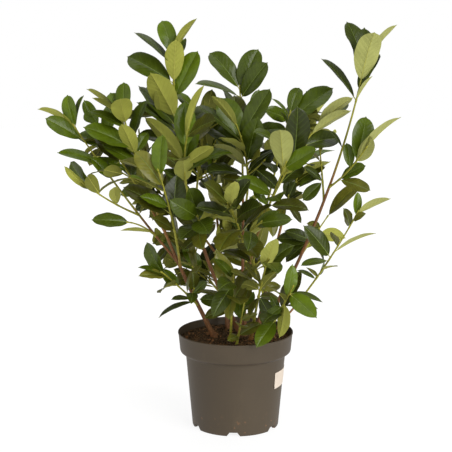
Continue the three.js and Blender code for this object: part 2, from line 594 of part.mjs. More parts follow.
// Points of everything grown so far, kept in cells so that near ones are found fast
class Space {
  constructor() {
    this.cells = new Map();
  }

  key(x, y, z) {
    return `${x},${y},${z}`;
  }

  add(point, owner, radius, nearRoot = false) {
    const key = this.key(...[point.x, point.y, point.z].map((value) => Math.floor(value / CELL)));
    if (!this.cells.has(key)) this.cells.set(key, []);
    this.cells.get(key).push({ point, owner, radius, nearRoot });
  }

  addLeaf(leaf, owner) {
    leafSamples(leaf).forEach((point, i) => this.add(point, owner.name, 0, i < ROOT_SAMPLES));
  }

  isFree(point, clearFor) {
    const [x, y, z] = [point.x, point.y, point.z].map((value) => Math.floor(value / CELL));
    for (let i = x - 1; i <= x + 1; i += 1) {
      for (let j = y - 1; j <= y + 1; j += 1) {
        for (let k = z - 1; k <= z + 1; k += 1) {
          for (const other of this.cells.get(this.key(i, j, k)) ?? []) {
            const clear = clearFor(other) + other.radius;
            if (clear > 0 && other.point.distanceToSquared(point) < clear * clear) return false;
          }
        }
      }
    }
    return true;
  }
}

function meetsPot(point) {
  const wide = Math.hypot(point.x, point.y) < RIM_RADIUS + POT_CLEAR;
  const overSoil = Math.hypot(point.x, point.y) < RIM_RADIUS - WALL - POT_CLEAR;
  return wide && point.z < (overSoil ? SOIL_LEVEL : POT_HEIGHT) + POT_CLEAR;
}

// Whether a leaf has room: clear of the pot, of limbs and other masses, and of its sisters past their roots
function hasRoom(leaf, shoot, space) {
  return leafSamples(leaf).every((point, i) => {
    const nearRoot = i < ROOT_SAMPLES;
    if (meetsPot(point)) return false;
    return space.isFree(point, (other) => {
      if (other.owner === shoot.name && (nearRoot || other.nearRoot)) return -Infinity;
      if (other.owner === shoot.name) return other.radius > 0 ? 0 : SISTER_CLEAR;
      if (other.owner === `${shoot.name} limb`) return nearRoot ? -Infinity : LIMB_CLEAR;
      return other.radius > 0 ? LIMB_CLEAR : LEAF_CLEAR;
    });
  });
}

// Leaves of one twig, set in a spiral from the tip down, each with a few tries before it is left out
function leavesOf(twig, owner, count, size, turn, dice, space) {
  const kept = [];
  const lowest = Math.max(twig.bare, twig.clear) + LOWEST_LEAF / twig.length;
  for (let i = 0; i < count; i += 1) {
    const crown = twig.crown ?? 0;
    const age = crown + ((1 - crown) * (i + TOP_LEAF)) / count;
    const share = 1 - (1 - lowest) * age;
    for (let attempt = 0; attempt < TRIES; attempt += 1) {
      const round = turn + i * GOLDEN_ANGLE + (attempt === 0 ? 0 : dice.spread(TRY_TURN * attempt));
      const leaf = spiralLeaf(twig, share, round, age, size * (1 - TRY_SHRINK * attempt), dice);
      if (!hasRoom(leaf, owner, space)) continue;
      space.addLeaf(leaf, owner);
      kept.push(leaf);
      break;
    }
  }
  return kept;
}

// A short side twig of a leafy shoot, with its own few leaves
function growSprig(shoot, number, dice) {
  const height = SPRIG_LOWEST + SPRIG_SPACING * number + SPRIG_SPREAD * dice.roll();
  const share = shoot.bare + (1 - shoot.bare) * height;
  const axis = heading(shoot, share);
  const [first, second] = crossFrame(axis);
  const turn = (shoot.face + SPRIG_TURN + number * GOLDEN_ANGLE + dice.spread(TURN_SPREAD)) * RAD;
  const radial = first.multiplyScalar(Math.cos(turn)).addScaledVector(second, Math.sin(turn));
  const angle = SPRIG_ANGLE * RAD;
  const direction = axis.multiplyScalar(Math.cos(angle)).addScaledVector(radial, Math.sin(angle));
  const start = along(shoot, share);
  const tip = start.clone().addScaledVector(direction, SPRIG_LENGTH).toArray();
  const bow = [0, 0, -SPRIG_SAG];
  const row = { name: shoot.name, from: shoot.name, tip, bow, bare: 0, girth: SPRIG_GIRTH };
  return { ...makeShoot(row, start), clear: SPRIG_BARE };
}

function sprigHasRoom(sprig, shoot, space) {
  for (let share = SPRIG_BARE; share <= 1; share += SPRIG_SPREAD) {
    const free = space.isFree(along(sprig, share), (other) => {
      if (other.owner === shoot.name || other.owner === `${shoot.name} limb`) return -Infinity;
      return LEAF_CLEAR;
    });
    if (!free) return false;
  }
  return true;
}

// The prominent leaves of one shoot that have room
function growLeads(shoot, space) {
  const kept = [];
  for (const [share, bearing, pitch, length, show] of shoot.leads ?? []) {
    for (const shrink of LEAD_TRIES) {
      const leaf = leadLeaf(shoot, share, bearing, pitch, length * shrink, show);
      if (!hasRoom(leaf, shoot, space)) continue;
      space.addLeaf(leaf, shoot);
      kept.push(leaf);
      break;
    }
  }
  return kept;
}

// Everything else that is leafy on one shoot
function growMass(shoot, leads, space, seed) {
  const dice = new Dice(seed);
  const leaves = [...leads];
  leaves.push(...leavesOf(shoot, shoot, shoot.leaves, shoot.size, shoot.face - 90, dice, space));
  const sprigs = [];
  for (let i = 0; i < shoot.sprigs; i += 1) {
    const sprig = growSprig(shoot, i, dice);
    if (!sprigHasRoom(sprig, shoot, space)) continue;
    const size = shoot.size * SPRIG_SIZE;
    const own = leavesOf(sprig, shoot, SPRIG_LEAVES, size, 360 * dice.roll(), dice, space);
    if (own.length === 0) continue;
    sprigs.push(sprig);
    leaves.push(...own);
  }
  return { leaves, sprigs };
}

// A leaf as a closed solid: a flat top, a keel under the midrib, and one pointed tip
function leafGeometry(leaf) {
  const points = [];
  for (const share of [0, PETIOLE]) {
    for (const turn of [150, 30, 270]) {
      points.push(leafPoint(leaf, share, 0)
        .addScaledVector(leaf.side, PETIOLE_RADIUS * Math.cos(turn * RAD))
        .addScaledVector(leaf.upper, PETIOLE_RADIUS * Math.sin(turn * RAD)));
    }
  }
  for (const share of LEAF_SECTIONS) {
    points.push(leafPoint(leaf, share, -1));
    points.push(leafPoint(leaf, share, 1));
    points.push(leafPoint(leaf, share, 0, LEAF_KEEL * leaf.length));
  }
  points.push(leafPoint(leaf, 1, 0));
  const faces = [0, 1, 2];
  const sections = LEAF_SECTIONS.length + 2;
  for (let i = 0; i < sections; i += 1) {
    for (let k = 0; k < 3; k += 1) {
      const a = i * 3 + k;
      const b = i * 3 + ((k + 1) % 3);
      if (i + 1 < sections) faces.push(a, a + 3, b, b, a + 3, b + 3);
      else faces.push(a, sections * 3, b);
    }
  }
  return geometryFrom(points, faces);
}

// One fused body of a mass's stem, side twigs and leaves, with stray scraps and hollows dropped
function massGeometry(shoot, from, mass) {
  const twigs = [limbGeometry(shoot, from, 1, TWIG_SIDES, TWIG_STEP)];
  for (const sprig of mass.sprigs) twigs.push(limbGeometry(sprig, SPRIG_ROOT, 1, TWIG_SIDES, TWIG_STEP));
  const solids = [...twigs, ...mass.leaves.map(leafGeometry)].map(solidFrom);
  const fused = solids.reduce((whole, solid) => whole.add(solid));
  const pieces = fused.simplify(SMALLEST_EDGE).decompose();
  return geometryOf(pieces.reduce((best, piece) => (piece.volume() > best.volume() ? piece : best)));
}

function addPiece(group, name, geometry, color, roughness) {
  const mesh = new THREE.Mesh(geometry, new THREE.MeshStandardMaterial({ color, roughness, metalness: 0 }));
  mesh.name = name;
  group.add(mesh);
}

// Bows of every shoot, parents first, with the axes entered in the space
function growShoots(space) {
  const shoots = new Map();
  for (const row of SHOOTS) {
    const parent = shoots.get(row.from);
    const start = parent ? along(parent, row.at) : new THREE.Vector3(...row.foot, SOIL_LEVEL + GAP);
    const shoot = makeShoot(row, start);
    const sides = row.bare > 0 ? LIMB_SIDES : TWIG_SIDES;
    shoot.clear = parent ? clearShare(shoot, parent, sides) : 0;
    shoots.set(row.name, shoot);
    const steps = Math.ceil(shoot.length / AXIS_STEP);
    for (let i = 0; i <= steps; i += 1) {
      const share = i / steps;
      const owner = share < row.bare ? `${row.name} limb` : row.name;
      space.add(along(shoot, share), owner, radiusAt(shoot, share));
    }
  }
  return shoots;
}

function laurel() {
  const group = new THREE.Group();
  addPiece(group, 'pot', potGeometry(), POT_COLOUR, 0.6);
  addPiece(group, 'soil', soilGeometry(), SOIL_COLOUR, 0.95);
  addPiece(group, 'sticker', stickerGeometry(), STICKER_COLOUR, 0.6);
  const space = new Space();
  const shoots = growShoots(space);
  const leads = new Map([...shoots.values()].map((shoot) => [shoot.name, growLeads(shoot, space)]));
  let number = 0;
  for (const shoot of shoots.values()) {
    number += 1;
    let from = shoot.clear;
    if (shoot.bare > 0) {
      const limb = limbGeometry(shoot, from, shoot.bare, LIMB_SIDES, LIMB_STEP);
      addPiece(group, `${shoot.name}_${shoot.from ? 'bough' : 'stem'}`, limb, BARK, 0.85);
      from = shoot.bare + GAP / shoot.length;
    }
    const mass = growMass(shoot, leads.get(shoot.name), space, SEED * number);
    addPiece(group, `${shoot.name}_foliage`, massGeometry(shoot, from, mass), GREEN_LEAF, 0.4);
  }
  return group;
}

export default laurel();
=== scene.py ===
"""A young cherry laurel in its nursery pot, dressed over the packed frame."""

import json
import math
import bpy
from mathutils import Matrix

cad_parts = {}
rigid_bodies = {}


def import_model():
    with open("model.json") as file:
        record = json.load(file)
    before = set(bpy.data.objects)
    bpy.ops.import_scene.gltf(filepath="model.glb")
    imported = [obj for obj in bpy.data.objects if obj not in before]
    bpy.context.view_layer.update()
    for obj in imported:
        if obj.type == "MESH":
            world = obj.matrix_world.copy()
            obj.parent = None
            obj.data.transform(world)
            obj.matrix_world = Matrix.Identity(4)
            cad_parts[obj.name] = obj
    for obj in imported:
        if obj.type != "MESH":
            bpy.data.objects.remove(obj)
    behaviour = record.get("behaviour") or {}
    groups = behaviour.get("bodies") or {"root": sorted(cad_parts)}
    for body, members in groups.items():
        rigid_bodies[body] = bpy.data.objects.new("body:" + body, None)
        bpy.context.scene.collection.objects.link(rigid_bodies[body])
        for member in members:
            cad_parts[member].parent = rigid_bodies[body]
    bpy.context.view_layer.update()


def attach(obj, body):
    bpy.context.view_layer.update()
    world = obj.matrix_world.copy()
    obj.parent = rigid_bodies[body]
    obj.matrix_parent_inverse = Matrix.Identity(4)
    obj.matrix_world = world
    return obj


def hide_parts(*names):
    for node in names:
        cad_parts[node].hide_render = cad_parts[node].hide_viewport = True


bl_info = {
    "name": "Potted Cherry Laurel",
    "version": (1, 0, 0),
    "blender": (4, 5, 0),
    "location": "View3D > Sidebar > Laurel",
    "description": "Builds a many-stemmed cherry laurel with leaves, bark, soil and pot",
    "category": "Add Mesh",
}

from functools import lru_cache

import bpy
import numpy as np

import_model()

MM = 0.001
FULL_TURN = 2 * math.pi

# Pot and soil in millimetres, as the solids have them
POT_HEIGHT = 192
RIM_RADIUS = 115
BAND_HEIGHT = 157.0
BAND_RADIUS = 111.0
SHOULDER_HEIGHT = 144.5
SHOULDER_RADIUS = 99.4
BASE_RADIUS = 86.5
FOOT_RADIUS = 79.5
CHANNEL_RADIUS = 79.0
CHANNEL_RISE = 8.5
PAD_RADIUS = 58.0
WALL = 2
SOIL_LEVEL = 178
SOIL_BOTTOM = 10.9
SOIL_RADIUS = 110.9
SOIL_REACH = 110
GAP = 0.3

# Limbs, in millimetres
FLARE_SHARE = 0.75
FLARE_HEIGHT = 14
TIP_RADIUS = 1.3
TWIG_SIDES = 3
TWIG_FULLNESS = 1.5
BARK_STEP = 2
CLEAR_STEP = 0.5
CLEAR_LIMIT = 0.5
EDGE_PARTS = (0, 0.25, 0.5, 0.75)

# Leaves, as shares of a leaf's own length or width
PETIOLE = 0.08
BLADE_RISE = 0.68
BLADE_FALL = 0.54
LEAF_WIDTH = 0.46
LEAF_FOLD = 9
ROOT_SINK = 0.2
GOLDEN_ANGLE = 137.5

# Growth rule of a leafy shoot, from its tip down to its lowest leaf
TIP_ANGLE = 16
FOOT_ANGLE = 46
ANGLE_EASE = 0.8
ANGLE_SPREAD = 10
TURN_SPREAD = 14
ROLL_SPREAD = 34
SIZE_SPREAD = 0.1
YOUNG_SIZE = 0.78
GROWING_RATE = 2.2
LIGHT_TURN = 0.15
OLD_LIGHT_TURN = 0.55
DROOP = 0.12
BEND_LEAST = 0.08
BEND_MOST = 0.75
LEAD_BEND = 0.3
TOP_LEAF = 0.4
LOWEST_LEAF = 12
SPRIG_ANGLE = 42
SPRIG_LENGTH = 70
SPRIG_LEAVES = 3
SPRIG_SIZE = 0.78
SPRIG_BARE = 0.2
SPRIG_GIRTH = 1.6
SPRIG_SAG = 4
SPRIG_LOWEST = 0.22
SPRIG_SPACING = 0.25
SPRIG_SPREAD = 0.1
SPRIG_TURN = 110
TRIES = 7
TRY_TURN = 25
TRY_SHRINK = 0.05
LEAD_TRIES = [1, 0.9, 0.8, 0.7]
SEED = 4127

# Finer growth that the solids leave out
FINE_LEAVES = 4
FINE_SIZE = 70
FINE_SIZE_SPREAD = 0.2
FINE_LENGTH = 46
FINE_LENGTH_SPREAD = 0.3
FINE_FRONT = 60
FINE_BACKWARD = 0.3
FINE_ANGLE = 48
FINE_ANGLE_SPREAD = 12
FINE_HIGHEST = 0.97
FINE_GIRTH = 1.5
FINE_EASE = 0.7

# Leaf colours that are dealt out, with painted light and shade by a leaf's height, side and facing
GREEN_TINTS = 5
TOP_TINTS = 8
UNDER_TINTS = 5
LOW_TINT = 250
HIGH_TINT = 620
# Left and right ends of the painted light on the lower sides, which grows towards the key light on the right,
# in millimetres
LEFT_TINT = -150
RIGHT_TINT = 250
TINT_START = -0.22
TINT_CHANCE = 0.9
YOUNG_FRESH = 0.35
HIGH_FRESH = 0.2
# Painted light: brighter upper tints for leaves that face the front
FACING_PAINTED_LIGHT = 0.15
TURNED_PAINTED_LIGHT = 0.1
FACING = 0.9
TURNED = 0.4
OLIVE_SHARE = 0.8
# Painted light on the lower sides: their paleness at the far left, before it rises to the right
PAINTED_LIGHT_LEFT = 0.35
PALE_SPREAD = 0.18
RAGGED_BELOW = 430

# Clearances that decide whether a leaf is kept, in millimetres
LEAF_CLEAR = 8
SISTER_CLEAR = 4
LIMB_CLEAR = 5
POT_CLEAR = 6
CELL = 16
POINTS_MOST = 60000
SAMPLE_ROWS = 9
SAMPLE_COLUMNS = [-0.95, -0.48, 0, 0.48, 0.95]
ROOT_SAMPLES = 3 * len(SAMPLE_COLUMNS)
AXIS_STEP = 5

FRONT = np.array([0, -1, 0.2])
LIGHT = np.array([0, -0.5, 0.85])
SIDE_REFERENCE = np.array([0, 1.0, 0])

# Shoots, as in the part's source: a foot on the soil, or a parent and a share of its length; the tip; the
# offset of the bow's middle; the bare share; the radius at the foot; the count and longest length of the
# spiral leaves; the bearing of the top one; the share of the leafy part below the tip that has leads alone
# (crown); the count of side twigs (sprigs). Two values are the dressing's own: the tries at finer twigs
# (fine), and how much fresher, or below 0 duller, the shoot's leaves are than others (tone). leads are the
# prominent leaves: share along the shoot, bearing, pitch, length, and the share of the width that shows to
# the front, below 0 where the lower side shows.
PLAIN_SHOOT = dict(bow=[0, 0, 0], leaves=0, crown=0, sprigs=0, fine=0, tone=0, leads=[])
SHOOTS = [
    dict(name="tall", foot=[10, 30], tip=[-119, 10, 752], bow=[-80, 0, 0], bare=0.62, girth=4.3, leaves=4,
         size=108, face=30, crown=0.8, sprigs=1, tone=0.1, leads=[[0.76, 216, 58, 111, -0.98],
         [0.88, 283, 74, 91, -0.98], [0.83, 12, 62, 104, 0.89], [0.97, 139, 67, 80, 0.98],
         [0.99, 347, 56, 79, -0.3], [0.94, 180, 42, 101, 0.4], [0.88, 168, 30, 109, 0.83],
         [0.73, 164, 46, 114, 0.71], [0.71, 187, 39, 102, 0.45], [0.92, 48, 60, 74, 0.71]]),
    dict(name="left", foot=[-40, -15], tip=[-216, -45, 628], bow=[-20, 0, -10], bare=0.62, girth=4.5,
         leaves=5, size=98, face=100, crown=0.3, sprigs=1, tone=0.3, leads=[[0.96, 266, 40, 91, -0.98],
         [0.83, 235, 57, 79, -0.98], [0.98, 190, 36, 75, -0.25], [0.99, 91, 62, 73, 0.98],
         [0.94, 153, 42, 118, -0.2], [0.84, 42, 53, 51, 0.98], [0.94, 168, 26, 83, 0.5],
         [0.86, 187, 25, 107, 0.71], [0.79, 180, 29, 82, 0.71], [0.69, 241, 63, 64, -0.71],
         [0.97, 131, 48, 79, 0.94]]),
    dict(name="right", foot=[48, 10], tip=[251, 15, 727], bow=[50, 0, 0], bare=0.66, girth=4.2, size=98,
         face=135, tone=-0.1, leads=[[0.92, 302, 69, 112, -0.98], [0.86, 172, 51, 108, 0.45],
         [0.98, 133, 62, 99, 0.73], [0.99, 351, 52, 98, -0.3], [0.95, 82, 63, 113, 0.98],
         [0.69, 197, 54, 45, 0.45], [0.89, 30, 57, 90, 0.5], [0.86, 346, 59, 65, -0.3]]),
    dict(name="middle", foot=[20, 5], tip=[160, 0, 604], bow=[-90, 0, 0], bare=0.66, girth=3.9, leaves=4,
         size=104, face=105, crown=0.25, sprigs=1, fine=6, tone=-0.2, leads=[[0.84, 277, 67, 116, 0.98],
         [0.95, 346, 34, 97, -0.45], [0.99, 350, 41, 93, -0.5], [0.99, 29, 33, 98, 0.71]]),
    dict(name="top", foot=[12, 60], tip=[9, 110, 668], bow=[10, 0, 20], bare=0.64, girth=3.6, leaves=5,
         size=104, face=195, crown=0.45, sprigs=1, tone=0.05, leads=[[0.99, 163, 52, 102, 0.85],
         [0.98, 21, 67, 98, 0.94], [0.95, 343, 54, 95, 0.94], [0.96, 186, 18, 97, 0.35]]),
    dict(name="left_far", parent="left", at=0.36, tip=[-313, -10, 602], bow=[0, 0, -15], bare=0.55, girth=2.8,
         size=84, face=345, tone=0.35, leads=[[0.91, 189, 30, 86, 0.83], [0.99, 171, 28, 84, -0.3],
         [0.99, 141, 70, 69, 0.94], [0.99, 16, 76, 74, 0.4], [0.74, 187, 18, 91, 0.5],
         [0.64, 191, 47, 61, 0.83]]),
    dict(name="left_side", parent="left_far", at=0.38, tip=[-288, -85, 501], bow=[0, 0, -10], bare=0.3,
         girth=2.1, size=66, face=90, leads=[[0.86, 191, 41, 70, -0.45], [0.71, 245, 43, 68, -0.98],
         [0.4, 260, 55, 53, -0.98], [0.82, 152, 42, 79, 0.71]]),
    dict(name="left_skirt", parent="left_far", at=0.22, tip=[-205, -75, 425], bow=[0, 0, 10], bare=0, girth=2,
         size=72, face=300, fine=2, tone=0.1, leads=[[0.92, 191, 6, 77, 0.89], [0.15, 189, 6, 62, -0.25]]),
    dict(name="tall_side", parent="tall", at=0.5, tip=[-90, -80, 600], bow=[-15, 0, 0], bare=0.15, girth=2.5,
         leaves=4, size=100, face=60, fine=4, leads=[[0.83, 343, 73, 118, -0.2], [0.18, 267, 45, 84, -0.98],
         [0.46, 333, 32, 77, -0.71], [0.51, 183, 50, 118, -0.5], [0.42, 32, 76, 91, 0.89],
         [0.2, 193, 31, 52, 0.71], [0.36, 164, 38, 68, 0.94]]),
    dict(name="centre", parent="top", at=0.45, tip=[2, -10, 603], bow=[30, 0, 0], bare=0.3, girth=2.6,
         leaves=8, size=104, face=195, crown=0.3, sprigs=1, fine=22, tone=-0.3,
         leads=[[0.98, 202, 51, 85, -0.5], [0.84, 108, 58, 108, 0.98], [0.6, 298, 65, 108, 0.98],
         [0.82, 188, 40, 118, 0.4], [0.88, 19, 56, 112, 0.89], [0.55, 205, 37, 91, -0.4],
         [0.38, 201, 15, 57, 0.83]]),
    dict(name="middle_pale", parent="middle", at=0.6, tip=[94, -85, 540], bare=0, girth=2.2, leaves=3,
         size=98, face=80, fine=3, leads=[[0.86, 262, 55, 110, -0.98], [0.34, 203, 26, 87, 0.71],
         [0.12, 347, -1, 82, 0.71], [0.12, 285, -64, 66, 0.83], [0.12, 197, 43, 47, 0.83]]),
    dict(name="crest", parent="middle", at=0.55, tip=[108, 55, 622], bare=0.4, girth=2.6, leaves=7, size=100,
         face=165, crown=0.2, sprigs=1, fine=18, tone=-0.15, leads=[[0.99, 47, 63, 61, 0.94],
         [0.94, 220, 21, 75, 0.98], [0.97, 161, 45, 51, 0.4], [0.9, 9, 38, 118, 0.71]]),
    dict(name="right_side", parent="right", at=0.55, tip=[246, -70, 566], bow=[0, 0, -15], bare=0.25,
         girth=2.2, size=86, face=130, tone=-0.25, leads=[[0.72, 319, 52, 69, -0.89],
         [0.78, 356, 48, 118, -0.3], [0.73, 47, 69, 95, 0.98], [0.59, 131, 78, 51, 0.98],
         [0.28, 338, 30, 62, 0.71], [0.28, 342, -16, 66, 0.94]]),
    dict(name="left_front", parent="left", at=0.34, tip=[-145, -115, 528], bow=[10, 0, 0], bare=0.35,
         girth=2.6, leaves=4, size=90, face=135, fine=3, leads=[[0.57, 190, 32, 107, 0.89],
         [0.84, 180, 54, 89, 0.89], [0.4, 216, 30, 59, 0.71]]),
    dict(name="middle_front", parent="middle", at=0.3, tip=[-15, -135, 470], bow=[10, 0, 20], bare=0.3,
         girth=2.3, leaves=10, size=96, face=225, sprigs=1, fine=4, tone=-0.1,
         leads=[[0.95, 287, 58, 63, -0.89], [0.67, 208, 20, 58, -0.25], [0.35, 202, -6, 66, -0.45],
         [0.41, 338, 37, 50, -0.5]]),
    dict(name="front", foot=[30, -25], tip=[58, -165, 370], bow=[0, 0, 25], bare=0.45, girth=3.1, leaves=3,
         size=94, face=15, sprigs=1, fine=4, leads=[[0.84, 305, 63, 76, -0.89], [0.56, 306, 42, 71, -0.65],
         [0.56, 226, 24, 58, -0.83], [0.65, 172, 50, 54, 0.71], [0.48, 247, -33, 52, 0.5],
         [0.65, 30, 42, 59, 0.83], [0.56, 23, 9, 47, 0.94], [0.48, 35, -10, 50, 0.83],
         [0.49, 34, -58, 61, 0.98]]),
    dict(name="front_right", foot=[55, -40], tip=[105, -165, 318], bare=0.4, girth=2.2, leaves=4, size=88,
         face=270, crown=0.4, fine=3, tone=0.45, leads=[[0.89, 313, -25, 79, 0.98], [0.81, 25, 80, 67, 0.94],
         [0.74, 130, -78, 75, -0.71], [0.56, 149, 56, 53, 0.94], [0.89, 17, -15, 72, 0.3],
         [0.68, 187, -37, 50, 0.94], [0.43, 229, -36, 73, 0.94]]),
    dict(name="front_left", foot=[-10, -40], tip=[-5, -150, 335], bow=[0, 0, 25], bare=0.4, girth=2.4,
         leaves=6, size=90, face=180, fine=5, tone=0.2, leads=[[0.84, 222, -46, 76, 0.94],
         [0.61, 258, -41, 51, 0.89], [0.56, 187, 16, 72, 0.3], [0.47, 193, -20, 59, 0.83],
         [0.52, 161, 1, 67, 0.83], [0.95, 155, 44, 58, 0.71]]),
    dict(name="right_low", foot=[62, -10], tip=[228, -115, 450], bow=[10, 0, -20], bare=0.5, girth=2.4,
         size=66, face=90, tone=0.12, leads=[[0.99, 346, 29, 73, -0.45], [0.73, 353, 28, 90, -0.2],
         [0.69, 193, 51, 86, 0.83], [0.77, 104, 29, 45, 0.71], [0.91, 246, 49, 54, 0.89],
         [0.95, 308, 30, 37, 0.71], [0.6, 315, 19, 42, -0.2], [0.54, 229, 39, 43, -0.4],
         [0.55, 62, 37, 43, 0.4], [0.53, 198, 27, 44, 0.5], [0.67, 200, -5, 59, 0.5],
         [0.98, 70, 77, 46, 0.83]]),
    dict(name="left_low", parent="left", at=0.16, tip=[-140, -95, 330], bow=[0, 0, 5], bare=0, girth=2.1,
         leaves=3, size=76, face=200, sprigs=1, fine=3, tone=0.2, leads=[[0.12, 192, -20, 79, 0.3],
         [0.94, 159, 56, 74, 0.77], [0.84, 202, 24, 75, 0.3], [0.2, 213, 6, 47, 0.45],
         [0.56, 213, 48, 55, 0.94]]),
    dict(name="left_mid", parent="tall", at=0.31, tip=[-72, -125, 445], bow=[0, 0, 10], bare=0.3, girth=2.4,
         leaves=6, size=96, face=260, sprigs=1, fine=4, tone=-0.1, leads=[[0.51, 321, 49, 78, -0.83],
         [0.78, 180, 32, 84, 0.5], [0.35, 214, -30, 57, 0.71]]),
    dict(name="right_thin", parent="right", at=0.5, tip=[170, 80, 545], bow=[0, 0, 10], bare=0.3, girth=2.2,
         leaves=3, size=92, face=100, tone=-0.1, leads=[[0.33, 197, 37, 52, 0.71], [0.33, 192, -43, 55, 0.94],
         [0.47, 200, -22, 56, 0.71]]),
    dict(name="tall_back", parent="tall", at=0.42, tip=[-62, 120, 600], bow=[0, 0, 10], bare=0.35, girth=2.6,
         leaves=7, size=100, face=15, sprigs=1, fine=12),
    dict(name="left_back", parent="left", at=0.5, tip=[-278, 40, 612], bare=0.35, girth=2.4, leaves=5,
         size=92, face=345, sprigs=1, fine=4, tone=0.3, leads=[[0.94, 180, 60, 59, 0.98],
         [0.62, 193, 43, 74, 0.83], [0.54, 190, 22, 48, 0.83]]),
    dict(name="sprout", foot=[2, -62], tip=[16, -85, 268], bare=0, girth=1.8, leaves=5, size=62, face=300,
         fine=4, tone=0.1, leads=[[0.23, 239, 1, 40, 0.89], [0.87, 343, 23, 37, 0.94],
         [0.61, 346, 24, 45, 0.94], [0.94, 58, 59, 46, 0.83], [0.87, 58, 32, 48, 0.94]]),
    dict(name="back", foot=[-15, 70], tip=[-60, 235, 560], bow=[0, 0, 40], bare=0.55, girth=3.8, leaves=8,
         size=104, face=80, sprigs=1, fine=14, tone=-0.1),
    dict(name="back_left", parent="back", at=0.3, tip=[-190, 165, 520], bare=0.35, girth=2.6, leaves=6,
         size=98, face=135, sprigs=1, fine=12, tone=-0.1, leads=[[0.53, 180, 62, 60, 0.94],
         [0.41, 180, 84, 74, 0.83], [0.94, 173, -45, 62, 0.89], [0.83, 194, -66, 51, 0.83],
         [0.69, 346, 36, 26, 0.94]]),
    dict(name="back_right", foot=[45, 62], tip=[150, 205, 570], bow=[0, 0, 30], bare=0.55, girth=3.8,
         leaves=7, size=104, face=60, sprigs=1, fine=3, tone=-0.1, leads=[[0.6, 0, -57, 54, 0.71],
         [0.59, 210, -54, 68, 0.83]]),
    dict(name="back_low", parent="back_right", at=0.14, tip=[15, 150, 385], bare=0.25, girth=2.4, leaves=7,
         size=92, face=90, sprigs=1, fine=16, leads=[[0.39, 188, 24, 77, 0.71], [0.73, 180, 9, 55, 0.71],
         [0.36, 203, -9, 53, 0.5]]),
    dict(name="back_low_left", parent="back", at=0.12, tip=[-120, 160, 350], bare=0, girth=2.2, leaves=8,
         size=90, face=140, sprigs=1, fine=9, leads=[[0.48, 186, 49, 67, 0.89], [0.53, 209, 9, 46, 0.71],
         [0.8, 180, -29, 61, 0.89]]),
    dict(name="right_back", parent="right", at=0.3, tip=[188, 100, 405], bare=0.35, girth=2.2, size=90,
         face=315, sprigs=1, tone=0.05, leads=[[0.99, 350, 46, 99, 0.5], [0.67, 197, -42, 56, 0.71],
         [0.38, 322, -50, 50, 0.3], [0.38, 180, 22, 59, 0.94], [0.38, 186, -38, 69, 0.71],
         [0.38, 172, 3, 71, 0.94]]),
]


# Steps of the even numbers
DICE_FACTOR = 1664525
DICE_STEP = 1013904223
DICE_RANGE = 4294967296


class Dice:
    """Even numbers between 0 and 1 from a seed, the same on every run."""

    def __init__(self, seed):
        self.state = seed

    def roll(self):
        self.state = (self.state * DICE_FACTOR + DICE_STEP) % DICE_RANGE
        return self.state / DICE_RANGE

    def spread(self, width):
        return (self.roll() * 2 - 1) * width

    def turn(self):
        return FULL_TURN * self.roll()


def unit(vector):
    return vector / np.linalg.norm(vector)


def turned(vector, axis, angle):
    """A vector turned about a unit axis, by radians."""
    cos, sin = math.cos(angle), math.sin(angle)
    return vector * cos + np.cross(axis, vector) * sin + axis * (np.dot(axis, vector) * (1 - cos))


def cross_frame(direction):
    """Two directions square to a heading."""
    first = unit(np.cross(SIDE_REFERENCE, direction))
    return first, np.cross(direction, first)


def eased(low, high, value):
    """A smooth step from 0 to 1 between two values."""
    share = np.clip((value - low) / (high - low), 0, 1)
    return share * share * (3 - 2 * share)


def turns(count):
    """Even bearings round a ring, in radians."""
    return np.arange(count) / count * FULL_TURN


def ring_points(first, second, turn):
    """Directions round a heading, from the two that are square to it."""
    return first[..., None, :] * np.cos(turn)[:, None] + second[..., None, :] * np.sin(turn)[:, None]


def moved(faces, offset):
    return [[k + offset for k in face] for face in faces]


class Shoot:
    """One limb in a single bow, from its foot to its tip."""

    def __init__(self, row, start):
        self.row = row
        self.name = row["name"]
        self.parent = row.get("parent")
        self.start = np.array(start, float)
        self.end = np.array(row["tip"], float)
        self.middle = (self.start + self.end) / 2 + np.array(row["bow"], float)
        self.length = float(np.linalg.norm(self.end - self.start))
        self.bare = row["bare"]
        self.girth = row["girth"]
        self.clear = 0.0

    def along(self, share):
        share = np.asarray(share, float)[..., None]
        rest = 1 - share
        return self.start * rest**2 + self.middle * (2 * rest * share) + self.end * share**2

    def heading(self, share):
        share = np.asarray(share, float)[..., None]
        slope = self.start * (share - 1) + self.middle * (1 - 2 * share) + self.end * share
        return slope / np.linalg.norm(slope, axis=-1, keepdims=True)

    def radius(self, share):
        share = np.asarray(share, float)
        taper = self.girth + (TIP_RADIUS - self.girth) * share
        if self.parent:
            return taper
        return taper * (1 + FLARE_SHARE * np.exp(-share * self.length / FLARE_HEIGHT))

    def leaves_on(self, twig):
        return [leaf for leaf in self.leaves if leaf.twig is twig]


class Leaf:
    """Place, size and turn of one leaf, in millimetres."""

    def __init__(self, shoot, share, direction, length, bend, roll, light_turn):
        axis = shoot.heading(share)
        inward = unit(axis - direction * np.dot(axis, direction))
        lit = LIGHT - direction * np.dot(LIGHT, direction)
        upper = unit(inward * (1 - light_turn) + lit * light_turn)
        self.direction = direction
        self.upper = turned(upper, direction, math.radians(roll))
        self.side = np.cross(direction, self.upper)
        self.base = shoot.along(share) - direction * ROOT_SINK
        self.length = length
        self.width = length * LEAF_WIDTH
        self.bend = bend
        self.twig = shoot
        self.share = share
        self.age = 0.5
        self.show = 0.0


def blade_width(share):
    """Half width of a blade along its length, from 0 to 1."""
    along = np.clip((share - PETIOLE) / (1 - PETIOLE), 0, 1)
    widest = BLADE_RISE / (BLADE_RISE + BLADE_FALL)
    most = widest**BLADE_RISE * (1 - widest) ** BLADE_FALL
    return along**BLADE_RISE * (1 - along) ** BLADE_FALL / most


